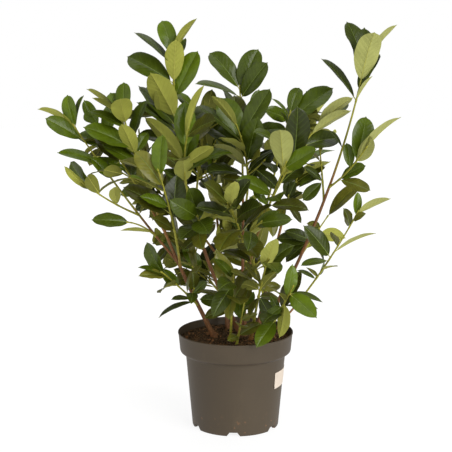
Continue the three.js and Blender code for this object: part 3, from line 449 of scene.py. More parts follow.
SAMPLE_SHARE = np.repeat(np.arange(1, SAMPLE_ROWS + 1) / SAMPLE_ROWS, len(SAMPLE_COLUMNS))
SAMPLE_ACROSS = np.tile(np.array(SAMPLE_COLUMNS), SAMPLE_ROWS)
SAMPLE_NEAR_ROOT = np.arange(len(SAMPLE_SHARE)) < ROOT_SAMPLES


def leaf_samples(leaf):
    """Points spread over a blade, from its root to its tip."""
    bend = leaf.bend * SAMPLE_SHARE
    ahead = leaf.length * np.sin(bend) / leaf.bend
    drop = leaf.length * (1 - np.cos(bend)) / leaf.bend
    half = SAMPLE_ACROSS * 0.5 * leaf.width * blade_width(SAMPLE_SHARE)
    fold = math.radians(LEAF_FOLD)
    lift = np.abs(half) * math.sin(fold)
    return (
        leaf.base
        + np.outer(ahead + lift * np.sin(bend), leaf.direction)
        + np.outer(lift * np.cos(bend) - drop, leaf.upper)
        + np.outer(half * math.cos(fold), leaf.side)
    )


class Space:
    """Points of everything grown so far."""

    def __init__(self):
        self.points = np.zeros((POINTS_MOST, 3))
        self.owner = np.zeros(POINTS_MOST, int)
        self.limb = np.zeros(POINTS_MOST, bool)
        self.radius = np.zeros(POINTS_MOST)
        self.near_root = np.zeros(POINTS_MOST, bool)
        self.count = 0

    def add(self, points, owner, limb, radius, near_root):
        rows = slice(self.count, self.count + len(points))
        self.points[rows] = points
        self.owner[rows] = owner
        self.limb[rows] = limb
        self.radius[rows] = radius
        self.near_root[rows] = near_root
        self.count += len(points)

    def add_leaf(self, leaf, owner):
        self.add(leaf_samples(leaf), owner, False, 0, SAMPLE_NEAR_ROOT)

    def near(self, points):
        """Rows of the points kept within a cell of these."""
        kept = self.points[: self.count]
        inside = (kept > points.min(0) - CELL) & (kept < points.max(0) + CELL)
        return np.nonzero(inside.all(1))[0]

    def has_room(self, leaf, owner, ease=1.0):
        """Whether a leaf is clear of the pot, limbs, other masses, and its sisters past their roots."""
        points = leaf_samples(leaf)
        if meets_pot(points).any():
            return False
        rows = self.near(points)
        if not len(rows):
            return True
        near_root = SAMPLE_NEAR_ROOT[:, None]
        own = self.owner[rows] == owner
        limb = self.limb[rows]
        thick = self.radius[rows]
        clear = np.where(thick > 0, LIMB_CLEAR, LEAF_CLEAR) * np.ones((len(points), 1))
        clear = np.where(own & ~limb, np.where(thick > 0, 0, SISTER_CLEAR), clear) * ease + thick
        skip = own & ~limb & (near_root | self.near_root[rows])
        skip |= own & limb & near_root
        gap = np.linalg.norm(points[:, None] - self.points[rows], axis=2)
        return not ((gap < clear) & ~skip).any()

    def sprig_has_room(self, sprig, owner, ease=1.0):
        share = SPRIG_BARE
        while share <= 1:
            point = sprig.along(share)[None]
            rows = self.near(point)
            rows = rows[self.owner[rows] != owner]
            gap = np.linalg.norm(self.points[rows] - point, axis=1)
            if (gap < LEAF_CLEAR * ease + self.radius[rows]).any():
                return False
            share += SPRIG_SPREAD
        return True


def meets_pot(points):
    across = np.hypot(points[:, 0], points[:, 1])
    level = np.where(across < RIM_RADIUS - WALL - POT_CLEAR, SOIL_LEVEL, POT_HEIGHT)
    return (across < RIM_RADIUS + POT_CLEAR) & (points[:, 2] < level + POT_CLEAR)


def clear_share(shoot, parent):
    """First share of a side shoot that is leafy from its foot whose end lies clear of its parent."""
    steps = math.ceil(parent.length / BARK_STEP)
    bark = np.arange(steps + 1) / steps
    centres, radii = parent.along(bark), parent.radius(bark)
    step = CLEAR_STEP / shoot.length
    share = step
    while share < CLEAR_LIMIT:
        centre = shoot.along(share)
        radius = TWIG_FULLNESS * float(shoot.radius(share))
        ring = centre + radius * ring_points(*cross_frame(shoot.heading(share)), turns(TWIG_SIDES))
        edges = [ring + (np.roll(ring, -1, 0) - ring) * part for part in EDGE_PARTS]
        face = np.concatenate([centre[None], *edges])
        nearest = (np.linalg.norm(face[:, None] - centres, axis=2) - radii).min()
        if nearest >= GAP:
            return share
        share += step
    raise RuntimeError(f"{shoot.name} never leaves {parent.name}")


def spiral_leaf(shoot, share, turn, age, size, dice):
    """A leaf of the spiral: age runs from 0 at the shoot's tip to 1 at its lowest leaf."""
    axis = shoot.heading(share)
    first, second = cross_frame(axis)
    angle = TIP_ANGLE + (FOOT_ANGLE - TIP_ANGLE) * age**ANGLE_EASE + dice.spread(ANGLE_SPREAD)
    angle = math.radians(angle)
    around = math.radians(turn + dice.spread(TURN_SPREAD))
    radial = first * math.cos(around) + second * math.sin(around)
    direction = axis * math.cos(angle) + radial * math.sin(angle)
    direction[2] -= DROOP * age
    direction = unit(direction)
    young = YOUNG_SIZE + (1 - YOUNG_SIZE) * math.sin(min(1, age * GROWING_RATE) * 0.5 * math.pi)
    length = size * young * (1 + dice.spread(SIZE_SPREAD))
    bend = BEND_LEAST + (BEND_MOST - BEND_LEAST) * dice.roll()
    light_turn = LIGHT_TURN + (OLD_LIGHT_TURN - LIGHT_TURN) * age
    leaf = Leaf(shoot, share, direction, length, bend, dice.spread(ROLL_SPREAD), light_turn)
    leaf.age = age
    return leaf


def lead_leaf(shoot, share, bearing, pitch, length, show):
    """A prominent leaf: its bearing and pitch are those of the straight line to its tip."""
    bearing, pitch = math.radians(bearing), math.radians(pitch)
    level = math.cos(pitch)
    direction = np.array([level * math.cos(bearing), level * math.sin(bearing), math.sin(pitch)])
    leaf = Leaf(shoot, share, direction, length, LEAD_BEND, 0, LIGHT_TURN)
    front = unit(FRONT - direction * np.dot(FRONT, direction))
    across = np.cross(direction, front)
    if np.dot(across, shoot.heading(share)) < 0:
        across = -across
    leaf.upper = front * show + across * math.sqrt(1 - show * show)
    leaf.side = np.cross(leaf.direction, leaf.upper)
    leaf.direction = turned(leaf.direction, leaf.side, LEAD_BEND / 2)
    leaf.upper = turned(leaf.upper, leaf.side, LEAD_BEND / 2)
    leaf.show = show
    return leaf


def inside(leaf, reach):
    """Whether a leaf lies in a box, where one is given."""
    if reach is None:
        return True
    points = leaf_samples(leaf)
    return bool(((points >= reach[0]) & (points <= reach[1])).all())


def spiral_leaves(twig, owner, count, size, turn, dice, space, ease=1.0, reach=None):
    """Leaves of one twig, set in a spiral from the tip down, each with a few tries before it is left out."""
    kept = []
    lowest = max(twig.bare, twig.clear) + LOWEST_LEAF / twig.length
    crown = twig.row["crown"]
    for i in range(count):
        age = crown + (1 - crown) * (i + TOP_LEAF) / count
        share = 1 - (1 - lowest) * age
        for attempt in range(TRIES):
            around = turn + i * GOLDEN_ANGLE + (dice.spread(TRY_TURN * attempt) if attempt else 0)
            leaf = spiral_leaf(twig, share, around, age, size * (1 - TRY_SHRINK * attempt), dice)
            if not inside(leaf, reach):
                continue
            if space.has_room(leaf, owner, ease):
                space.add_leaf(leaf, owner)
                kept.append(leaf)
                break
    return kept


def side_twig(shoot, share, turn, angle, length, girth):
    """A short straight twig from a point of a shoot, hanging a little."""
    axis = shoot.heading(share)
    first, second = cross_frame(axis)
    radial = first * math.cos(turn) + second * math.sin(turn)
    direction = axis * math.cos(angle) + radial * math.sin(angle)
    start = shoot.along(share)
    tip = start + direction * length
    bow = [0, 0, -SPRIG_SAG]
    row = dict(PLAIN_SHOOT, name=shoot.name, parent=shoot.name, tip=tip, bow=bow, bare=0, girth=girth)
    twig = Shoot(row, start)
    twig.clear = SPRIG_BARE
    return twig


def grow_sprig(shoot, number, dice):
    height = SPRIG_LOWEST + SPRIG_SPACING * number + SPRIG_SPREAD * dice.roll()
    share = shoot.bare + (1 - shoot.bare) * height
    turn = shoot.row["face"] + SPRIG_TURN + number * GOLDEN_ANGLE + dice.spread(TURN_SPREAD)
    angle = math.radians(SPRIG_ANGLE)
    return side_twig(shoot, share, math.radians(turn), angle, SPRIG_LENGTH, SPRIG_GIRTH)


def grow_shoots(space):
    """Bows of every shoot, parents first, with the axes entered in the space."""
    shoots = {}
    for number, given in enumerate(SHOOTS):
        row = {**PLAIN_SHOOT, **given}
        parent = shoots.get(row.get("parent"))
        start = parent.along(row["at"]) if parent else [*row["foot"], SOIL_LEVEL + GAP]
        shoot = Shoot(row, start)
        shoot.number = number
        if parent and not row["bare"]:
            shoot.clear = clear_share(shoot, parent)
        shoots[row["name"]] = shoot
        steps = math.ceil(shoot.length / AXIS_STEP)
        share = np.arange(steps + 1) / steps
        space.add(shoot.along(share), number, share < row["bare"], shoot.radius(share), False)
    return shoots


def grow_leads(shoot, space):
    """The prominent leaves of one shoot that have room."""
    kept = []
    for share, bearing, pitch, length, show in shoot.row["leads"]:
        for shrink in LEAD_TRIES:
            leaf = lead_leaf(shoot, share, bearing, pitch, length * shrink, show)
            if space.has_room(leaf, shoot.number):
                space.add_leaf(leaf, shoot.number)
                kept.append(leaf)
                break
    return kept


def grow_mass(shoot, space, dice):
    """Spiral leaves and side twigs of one shoot, as its solid has them."""
    row = shoot.row
    leaves = spiral_leaves(shoot, shoot.number, row["leaves"], row["size"], row["face"] - 90, dice, space)
    sprigs = []
    for i in range(row["sprigs"]):
        sprig = grow_sprig(shoot, i, dice)
        if not space.sprig_has_room(sprig, shoot.number):
            continue
        turn = 360 * dice.roll()
        own = spiral_leaves(sprig, shoot.number, SPRIG_LEAVES, row["size"] * SPRIG_SIZE, turn, dice, space)
        if own:
            sprigs.append(sprig)
            leaves += own
    return leaves, sprigs


def grow_fine(shoot, space, dice):
    """Finer growth of a mass, within its reach: short twigs with a few leaves, turned back in the front."""
    twigs = []
    leaves = []
    points = np.concatenate([leaf_samples(leaf) for leaf in shoot.leaves])
    reach = points.min(0), points.max(0)
    low = max(shoot.bare, shoot.clear)
    for _ in range(shoot.row["fine"]):
        share = low + (FINE_HIGHEST - low) * dice.roll()
        turn = dice.turn()
        angle = math.radians(FINE_ANGLE + dice.spread(FINE_ANGLE_SPREAD))
        length = FINE_LENGTH * (1 + dice.spread(FINE_LENGTH_SPREAD))
        twig = side_twig(shoot, share, turn, angle, length, FINE_GIRTH)
        in_front = shoot.end[1] < FINE_FRONT and twig.end[1] < twig.start[1] + FINE_BACKWARD * length
        if in_front or not space.sprig_has_room(twig, shoot.number, FINE_EASE):
            continue
        size = FINE_SIZE * (1 + dice.spread(FINE_SIZE_SPREAD))
        turn = 360 * dice.roll()
        own = spiral_leaves(twig, shoot.number, FINE_LEAVES, size, turn, dice, space, FINE_EASE, reach)
        if own:
            twigs.append(twig)
            leaves += own
    return leaves, twigs


@lru_cache(maxsize=1)
def grown_plant():
    """Every shoot with its leaves and twigs: the solids' own first, then the finer ones."""
    space = Space()
    shoots = grow_shoots(space)
    leads = {name: grow_leads(shoot, space) for name, shoot in shoots.items()}
    for number, (name, shoot) in enumerate(shoots.items(), 1):
        leaves, sprigs = grow_mass(shoot, space, Dice(SEED * number))
        shoot.leaves = leads[name] + leaves
        shoot.twigs = sprigs
    for number, shoot in enumerate(shoots.values(), 1):
        leaves, twigs = grow_fine(shoot, space, Dice(SEED * number + 1))
        shoot.leaves = shoot.leaves + leaves
        shoot.twigs = shoot.twigs + twigs
    return shoots


def place(name, mesh):
    piece = bpy.data.objects.new(name, mesh)
    bpy.context.scene.collection.objects.link(piece)
    return piece


def make_piece(name, points, faces, finishes, crease=None):
    """A smooth piece from points in millimetres, sharp where faces turn by more than the crease's degrees."""
    mesh = bpy.data.meshes.new(name)
    mesh.from_pydata(points * MM, [], faces)
    for finish in finishes:
        mesh.materials.append(finish)
    mesh.shade_smooth()
    if crease:
        mesh.set_sharp_from_angle(angle=math.radians(crease))
    return place(name, mesh)


def settle(piece, slot, *nodes):
    """Ties a finished piece to the root body and hides the nodes it stands for. The slot is not used."""
    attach(piece, "root")
    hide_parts(*nodes)


def set_corners(mesh, name, per_corner):
    """A UV map from one pair for each face corner."""
    layer = mesh.uv_layers.new(name=name)
    layer.data.foreach_set("uv", np.asarray(per_corner, np.float32).ravel())


class Tree:
    """Short calls that add nodes to a material and join them."""

    def __init__(self, name):
        self.material = bpy.data.materials.new(name)
        self.material.use_nodes = True
        self.nodes = self.material.node_tree.nodes
        self.links = self.material.node_tree.links
        self.nodes.clear()
        self.shader = self.nodes.new("ShaderNodeBsdfPrincipled")
        output = self.nodes.new("ShaderNodeOutputMaterial")
        self.links.new(self.shader.outputs["BSDF"], output.inputs["Surface"])

    def feed(self, socket, value):
        if isinstance(value, bpy.types.NodeSocket):
            self.links.new(value, socket)
        elif socket.type == "RGBA":
            socket.default_value = (*value[:3], 1)
        else:
            socket.default_value = value

    def add(self, kind, inputs=None, **settings):
        node = self.nodes.new("ShaderNode" + kind)
        for key, value in settings.items():
            setattr(node, key, value)
        for key, value in (inputs or {}).items():
            self.feed(node.inputs[key], value)
        return node

    def math(self, operation, first, second=0.0, third=0.0, clamp=False):
        inputs = {0: first, 1: second, 2: third}
        return self.add("Math", inputs, operation=operation, use_clamp=clamp).outputs[0]

    def step(self, value, low, high):
        """0 below low, 1 above high, smooth between."""
        inputs = {"Value": value, "From Min": low, "From Max": high}
        return self.add("MapRange", inputs, interpolation_type="SMOOTHSTEP").outputs[0]

    def mix(self, share, first, second, blend="MIX"):
        node = self.add("Mix", data_type="RGBA", blend_type=blend)
        self.feed(node.inputs[0], share)
        self.feed(node.inputs[6], first)
        self.feed(node.inputs[7], second)
        return node.outputs[2]

    def place(self):
        return self.add("TexCoord").outputs["Object"]

    def noise(self, scale, detail=2.0, stretch=None):
        vector = self.place()
        if stretch:
            vector = self.add("Mapping", {"Vector": vector, "Scale": stretch}).outputs[0]
        inputs = {"Vector": vector, "Scale": scale, "Detail": detail}
        return self.add("TexNoise", inputs).outputs["Fac"]

    def bump(self, height, strength, distance):
        inputs = {"Height": height, "Strength": strength, "Distance": distance}
        self.feed(self.shader.inputs["Normal"], self.add("Bump", inputs).outputs[0])

    def finish(self, color, roughness, **sockets):
        self.feed(self.shader.inputs["Base Color"], color)
        self.feed(self.shader.inputs["Roughness"], roughness)
        for name, value in sockets.items():
            self.feed(self.shader.inputs[name.replace("_", " ")], value)
        return self.material


def shaded(color, share):
    return tuple(min(1.0, value * share) for value in color)


# Surfaces of the two sides of a blade
TOP_SKIN = dict(roughness=0.36, gloss=0.16, mottling=0.14)
UNDER_SKIN = dict(roughness=0.6, gloss=0.15, mottling=0.05)


def leaf_finish(name, color, vein_color, look, roughness, gloss, mottling, coat):
    """A blade's surface: lateral veins from the midrib, quilting between them and a faint mottle."""
    tree = Tree(name)
    uv = tree.add("UVMap", uv_map="leaf").outputs[0]
    split = tree.add("SeparateXYZ", {0: uv})
    across = tree.math("ABSOLUTE", tree.math("MULTIPLY_ADD", split.outputs[0], 2.0, -1.0))
    along = tree.math("MULTIPLY_ADD", across, -look.vein_rake, split.outputs[1])
    wander = tree.math("MULTIPLY", tree.noise(120.0), 0.35)
    phase = tree.math("MULTIPLY_ADD", along, float(look.veins), wander)
    apart = tree.math("MULTIPLY", tree.math("PINGPONG", phase, 0.5), 2.0)
    vein = tree.math("SUBTRACT", 1.0, tree.step(apart, 0.0, 0.28))
    fade = tree.math("MULTIPLY_ADD", across, -0.75, 1.0)
    vein = tree.math("MULTIPLY", tree.math("MULTIPLY", vein, fade), look.vein_strength, clamp=True)
    mottle = tree.step(tree.noise(55.0, 3.0), 0.32, 0.7)
    blade = tree.mix(mottle, shaded(color, 1 - mottling), shaded(color, 1 + mottling))
    blade = tree.mix(vein, blade, vein_color)
    margin = tree.math("MULTIPLY", tree.step(across, 0.82, 1.0), 0.25)
    blade = tree.mix(margin, blade, shaded(vein_color, 0.8))
    quilt = tree.math("ADD", tree.math("MULTIPLY", apart, fade), tree.math("MULTIPLY", mottle, 0.25))
    tree.bump(quilt, look.quilting, 0.0009)
    return tree.finish(blade, roughness, Specular_IOR_Level=gloss, Coat_Weight=coat, Coat_Roughness=0.14)


def rib_finish(name, color, roughness):
    """Midribs and petioles."""
    tree = Tree(name)
    tone = tree.mix(tree.step(tree.noise(140.0), 0.3, 0.7), shaded(color, 0.86), shaded(color, 1.1))
    return tree.finish(tone, roughness, Specular_IOR_Level=0.35)


def bark_finish(name, colours):
    """Green young wood that turns brown with age, with streaks and pale breathing pores."""
    tree = Tree(name)
    age = tree.add("Attribute", attribute_name="age").outputs["Fac"]
    streak = tree.noise(260.0, 4.0, stretch=(1.0, 1.0, 0.12))
    patch = tree.noise(46.0, 3.0)
    shift = tree.math("MULTIPLY_ADD", tree.math("SUBTRACT", patch, 0.5), 0.7, age)
    turning = tree.mix(tree.step(shift, 0.12, 0.5), colours.young_wood, colours.ripe_wood)
    tone = tree.mix(tree.step(shift, 0.55, 1.0), turning, colours.old_wood)
    darker = tree.mix(1.0, tone, (0.68, 0.68, 0.68), "MULTIPLY")
    tone = tree.mix(tree.step(streak, 0.35, 0.75), darker, tone)
    pore_place = tree.add("TexVoronoi", {"Vector": tree.place(), "Scale": 230.0}).outputs["Distance"]
    pore = tree.math("MULTIPLY", tree.math("SUBTRACT", 1.0, tree.step(pore_place, 0.1, 0.26)), 0.35)
    pore = tree.math("MULTIPLY", pore, tree.step(age, 0.15, 0.5))
    tone = tree.mix(pore, tone, colours.pore)
    relief = tree.math("ADD", streak, tree.math("MULTIPLY", pore, 1.2))
    tree.bump(relief, 0.35, 0.0006)
    return tree.finish(tone, 0.62, Specular_IOR_Level=0.3)


# Rows and half columns of a blade's mesh, as shares of its length and half width
ROW_SHARES = np.array([0, 0.05, 0.11, 0.18, 0.26, 0.34, 0.42, 0.5, 0.58, 0.66, 0.74, 0.81, 0.87, 0.92, 0.955,
                       0.98])
HALF_COLUMNS = np.array([0.0, 0.3, 0.56, 0.8, 1.0])
COLUMNS = 2 * len(HALF_COLUMNS) + 1
CENTRE = len(HALF_COLUMNS)
ROWS = len(ROW_SHARES)

# How blades differ, as shares of their length or width, with angles in radians and depths in millimetres
RISE_SPREAD = 0.12
FALL_SPREAD = 0.14
POINT_FOOT = 0.12
POINT_FROM = 0.8
EDGE_ON = 0.55
EDGE_ON_CALM = 0.3
CURL_DOWN = 0.12
WAVE_LEAST = 0.4
WAVES_LEAST = 1.5
WAVES_MORE = 1.6
WAVE_LAG = 1.3
HALF_LEAST = 0.8
RIB_TAPER = 0.7
RIB_MOST = 0.45
FOLD_EASE = 0.3
GROOVE = 0.25
KEEL = 0.9
KEEL_TAPER = 0.75
PATTERN_WIDTH = 1.25
MIDRIB_STEPS = 48


def blade_faces():
    """Upper and lower faces of one blade, which of them lie on the midrib, and which points on the margin."""
    upper = np.arange(ROWS * COLUMNS).reshape(ROWS, COLUMNS)
    lower = upper.copy()
    inner = ROWS * COLUMNS + np.arange((ROWS - 1) * (COLUMNS - 2)).reshape(ROWS - 1, COLUMNS - 2)
    lower[1:, 1:-1] = inner
    tip = ROWS * COLUMNS + inner.size
    top, under, on_rib = [], [], []
    for row in range(ROWS):
        for col in range(COLUMNS - 1):
            on_rib.append(CENTRE - 1 <= col <= CENTRE)
            (a, b), (c, d) = upper[row, col : col + 2], lower[row, col : col + 2]
            if row + 1 < ROWS:
                top.append([a, b, upper[row + 1, col + 1], upper[row + 1, col]])
                under.append([c, lower[row + 1, col], lower[row + 1, col + 1], d])
            else:
                top.append([a, b, tip])
                under.append([c, tip, d])
    edge = np.zeros(tip + 1, bool)
    edge[[*upper[0], *upper[:, 0], *upper[:, -1], tip]] = True
    return top, under, on_rib, edge


TOP_FACES, UNDER_FACES, FACE_ON_RIB, BLADE_EDGE = blade_faces()


def midrib(leaf, share, curl):
    """Point and normal of a leaf's midrib at shares of its length."""
    fine = np.linspace(0, 1, MIDRIB_STEPS + 1)
    angle = leaf.bend * fine + curl * fine**3
    step = leaf.length / MIDRIB_STEPS
    ahead = np.concatenate([[0], np.cumsum((np.cos(angle[1:]) + np.cos(angle[:-1])) / 2) * step])
    drop = np.concatenate([[0], np.cumsum((np.sin(angle[1:]) + np.sin(angle[:-1])) / 2) * step])
    ahead, drop, angle = (np.interp(share, fine, values) for values in (ahead, drop, angle))
    point = leaf.base + np.outer(ahead, leaf.direction) - np.outer(drop, leaf.upper)
    return point, np.outer(np.cos(angle), leaf.upper) + np.outer(np.sin(angle), leaf.direction)


def blade_outline(share, leaf, look, dice):
    """Half width from 0 to 1 along a blade, round at its end with a short point; low blades end slimmer."""
    low = 1 - eased(LOW_TINT, HIGH_TINT, leaf.base[2])
    rise = BLADE_RISE * (1 + dice.spread(RISE_SPREAD))
    fall = BLADE_FALL * (1 + look.low_taper * low + dice.spread(FALL_SPREAD))
    body = np.clip(share / (1 - look.point_length), 0, 1)
    widest = rise / (rise + fall)
    most = widest**rise * (1 - widest) ** fall
    body = body**rise * (1 - body) ** fall / most
    point = look.point_width * np.clip((1 - share) / POINT_FOOT, 0, 1)
    return np.maximum(body, np.where(share > POINT_FROM, point, 0))


def bitten(left, right, dice):
    """A bite out of one margin of a blade: how deep, where and how long are left to chance."""
    depth, at, reach = 0.25 + 0.5 * dice.roll(), 0.3 + 0.55 * dice.roll(), 0.03 + 0.05 * dice.roll()
    bite = 1 - depth * np.exp(-(((ROW_SHARES - at) / reach) ** 2))
    return (left * bite, right) if dice.roll() < 0.5 else (left, right * bite)


def blade_part(leaf, look, dice):
    """Points of one blade, their places in its pattern, and its curl."""
    calm = EDGE_ON_CALM if 0 < abs(leaf.show) < EDGE_ON else 1.0
    curl = look.tip_curl * calm * dice.spread(1.0) + CURL_DOWN
    twist = look.twist * calm * dice.spread(1.0)
    fold = look.fold + dice.spread(look.fold_spread)
    wave = look.edge_wave * calm * (WAVE_LEAST + (1 - WAVE_LEAST) * dice.roll())
    waves = WAVES_LEAST + WAVES_MORE * dice.roll()
    phase = dice.turn()
    widen = 1 + dice.spread(look.width_spread)
    outline = blade_outline(ROW_SHARES, leaf, look, dice)
    half = np.maximum(0.5 * leaf.width * widen * outline, HALF_LEAST)
    left, right = half, half
    if leaf.base[2] < RAGGED_BELOW and dice.roll() < look.damaged:
        left, right = bitten(left, right, dice)
    rib = np.minimum(look.midrib_width / MM * (1 - RIB_TAPER * ROW_SHARES), RIB_MOST * half)
    across = np.zeros((ROWS, COLUMNS))
    for side, reach in ((-1, left), (1, right)):
        for i, part in enumerate(HALF_COLUMNS):
            across[:, CENTRE + side * (i + 1)] = side * (rib + (reach - rib) * part)
    rows = ROW_SHARES[:, None]
    point, normal = midrib(leaf, PETIOLE + (1 - PETIOLE) * ROW_SHARES, curl)
    spin = twist * rows
    side = leaf.side * np.cos(spin) + normal * np.sin(spin)
    normal = normal * np.cos(spin) - leaf.side * np.sin(spin)
    reach = np.abs(across) / half[:, None]
    ripple = np.sin(FULL_TURN * waves * rows + phase + WAVE_LAG * np.sign(across))
    height = np.abs(across) * math.sin(fold) * (1 - FOLD_EASE * reach)
    height += wave * leaf.width * ripple * reach**2 * np.sin(math.pi * rows)
    thick = np.full((ROWS, COLUMNS), look.leaf_thickness / MM / 2)
    thick[0] = thick[:, 0] = thick[:, -1] = 0
    on_rib = np.zeros((ROWS, COLUMNS))
    on_rib[1:, CENTRE] = 1
    keel = on_rib * KEEL * (1 - KEEL_TAPER * rows)
    flat = point[:, None] + side[:, None] * (across * math.cos(fold))[..., None]
    upper = flat + normal[:, None] * (height + thick - GROOVE * on_rib)[..., None]
    lower = flat + normal[:, None] * (height - thick - keel)[..., None]
    tip, _ = midrib(leaf, np.array([1.0]), curl)
    points = np.concatenate([upper.reshape(-1, 3), lower[1:, 1:-1].reshape(-1, 3), tip])
    pattern = np.stack([0.5 + across / (leaf.width * PATTERN_WIDTH), np.repeat(rows, COLUMNS, 1)], 2)
    pattern = np.concatenate([pattern.reshape(-1, 2), pattern[1:, 1:-1].reshape(-1, 2), [[0.5, 1.0]]])
    return points, pattern, curl


# Rings of a leaf's stalk: shares of the leaf's length and radii in millimetres for a leaf of the plain length
PETIOLE_SIDES = 6
PETIOLE_RINGS = np.array([0.0, 0.03, 0.07, 0.105, 0.15])
PETIOLE_RADII = np.array([1.35, 1.0, 0.85, 0.85, 0.45])
PETIOLE_LEAF = 92
PETIOLE_SLIMMEST = 0.6
PETIOLE_STOUTEST = 1.15
PETIOLE_DROP = 0.35


def petiole_part(leaf, curl):
    """A leaf's stalk, from inside the twig to the foot of its midrib."""
    scale = min(PETIOLE_STOUTEST, max(PETIOLE_SLIMMEST, leaf.length / PETIOLE_LEAF))
    point, normal = midrib(leaf, PETIOLE_RINGS, curl)
    point = point - normal * (PETIOLE_DROP * eased(0.05, 0.12, PETIOLE_RINGS))[:, None]
    ring = ring_points(np.broadcast_to(leaf.side, normal.shape), -normal, turns(PETIOLE_SIDES))
    points = point[:, None] + ring * (PETIOLE_RADII * scale)[:, None, None]
    return np.concatenate([points.reshape(-1, 3), point[:1], point[-1:]])


def grid_faces(rows, columns, wrap=False):
    """Quads of a grid of rows by columns, its columns closed into a ring or not."""
    faces = []
    for row in range(rows - 1):
        for col in range(columns if wrap else columns - 1):
            a, b = row * columns + col, row * columns + (col + 1) % columns
            faces.append([a, b, b + columns, a + columns])
    return faces


def tube_faces(rings, sides):
    """Faces of a closed tube whose two end points follow its rings."""
    faces = grid_faces(rings, sides, True)
    last, foot = (rings - 1) * sides, rings * sides
    for k in range(sides):
        faces.append([(k + 1) % sides, k, foot])
        faces.append([last + k, last + (k + 1) % sides, foot + 1])
    return faces


PETIOLE_FACES = tube_faces(len(PETIOLE_RINGS), PETIOLE_SIDES)


def tube_corners(rings, sides):
    """Place round and along a tube for each corner of its faces, in the order of tube_faces."""
    corners = []
    for ring in range(rings - 1):
        low, high = ring / (rings - 1), (ring + 1) / (rings - 1)
        for k in range(sides):
            a, b = k / sides, (k + 1) / sides
            corners += [[a, low], [b, low], [b, high], [a, high]]
    for k in range(sides):
        a, b = k / sides, (k + 1) / sides
        corners += [[b, 0.0], [a, 0.0], [(a + b) / 2, 0.0]]
        corners += [[a, 1.0], [b, 1.0], [(a + b) / 2, 1.0]]
    return np.array(corners)


PETIOLE_CORNERS = tube_corners(len(PETIOLE_RINGS), PETIOLE_SIDES)


def deal_tints(leaf, tone, dice):
    """Numbers of a leaf's upper and lower colour: fresh near the tips, olive and dull where old and low.
    Painted light: brighter upper tints for leaves that face the front, and lower sides paler high up and on
    the right, where the key light falls. Painted shade: lower sides darker low down, on the left and on
    spiral leaves within the crown.
    """
    high = float(np.clip((leaf.base[2] - LOW_TINT) / (HIGH_TINT - LOW_TINT), 0, 1))
    right = float(np.clip((leaf.base[0] - LEFT_TINT) / (RIGHT_TINT - LEFT_TINT), 0, 1))
    tone = tone if leaf.show else min(tone, 0)
    draw = dice.roll() * TINT_CHANCE + (1 - leaf.age) * YOUNG_FRESH + high * HIGH_FRESH + TINT_START + tone
    # Painted light: a leaf whose upper side faces the front draws a brighter tint.
    draw += FACING_PAINTED_LIGHT if leaf.show > FACING else TURNED_PAINTED_LIGHT if leaf.show > TURNED else 0
    top = int(np.clip(draw * GREEN_TINTS, 0, GREEN_TINTS - 1))
    if dice.roll() < (OLIVE_SHARE - 2 * tone) * (1 - high):
        top = GREEN_TINTS + int(dice.roll() * (TOP_TINTS - GREEN_TINTS))
    # Painted light and shade on the lower side: paler high up and towards the right, where the key light
    # falls, darker low down and on the left.
    pale = min(max(high * 2, tone), PAINTED_LIGHT_LEFT + right * (1 - PAINTED_LIGHT_LEFT)) + dice.spread(PALE_SPREAD)
    under = int(np.clip(pale * (UNDER_TINTS - 1), 0, UNDER_TINTS - 2))
    # Painted shade: spiral leaves, within the crown, get a lower tint one step darker than the prominent
    # leaves.
    return top, under + 1 if leaf.show else under


# Seeds of a shoot's leaves and bark, and where a leaf's sides and stalk lie in its cell of the bake map
SHOOT_SEED = 7919
LEAF_SEED = 131
BARK_SEED = 409
CELL_BLADE = [0.42, 0.94]
CELL_STALK = [0.07, 0.94]
CELL_MARGIN = 0.03


def leaf_piece(shoot, look, finishes):
    """All leaves of one mass in one mesh, with a pattern map and a map that keeps each leaf apart."""
    points, faces, numbers, pattern, atlas, edge = [], [], [], [], [], []
    offset = 0
    cells = math.ceil(math.sqrt(len(shoot.leaves)))
    for i, leaf in enumerate(shoot.leaves):
        dice = Dice(SEED + SHOOT_SEED * shoot.number + LEAF_SEED * i)
        top, under = deal_tints(leaf, shoot.row["tone"], dice)
        blade, spots, curl = blade_part(leaf, look, dice)
        stalk = petiole_part(leaf, curl)
        cell = np.array([i % cells, i // cells])
        for side, (own, tint) in enumerate(((TOP_FACES, top), (UNDER_FACES, TOP_TINTS + under))):
            rib = TOP_TINTS + UNDER_TINTS + side
            faces += moved(own, offset)
            numbers += [rib if on_rib else tint for on_rib in FACE_ON_RIB]
            corners = spots[np.concatenate(own)]
            pattern.append(corners)
            atlas.append((cell + corners * CELL_BLADE + [0.11 + 0.45 * side, CELL_MARGIN]) / cells)
        faces += moved(PETIOLE_FACES, offset + len(blade))
        numbers += [TOP_TINTS + UNDER_TINTS + 1] * len(PETIOLE_FACES)
        pattern.append(np.full(PETIOLE_CORNERS.shape, 0.5))
        atlas.append((cell + PETIOLE_CORNERS * CELL_STALK + [CELL_MARGIN / 2, CELL_MARGIN]) / cells)
        points += [blade, stalk]
        edge += [BLADE_EDGE, np.zeros(len(stalk), bool)]
        offset += len(blade) + len(stalk)
    used = sorted(set(numbers))
    worn = [finishes[number] for number in used]
    piece = make_piece(f"{shoot.name}_leaves", np.concatenate(points), faces, worn)
    mesh = piece.data
    mesh.polygons.foreach_set("material_index", [used.index(number) for number in numbers])
    set_corners(mesh, "leaf", np.concatenate(pattern))
    set_corners(mesh, "OFBake", np.concatenate(atlas))
    ends = np.zeros(2 * len(mesh.edges), int)
    mesh.edges.foreach_get("vertices", ends)
    sharp = np.concatenate(edge)[ends.reshape(-1, 2)].all(1)
    mesh.attributes.new("sharp_edge", "BOOLEAN", "EDGE").data.foreach_set("value", sharp)
    return piece


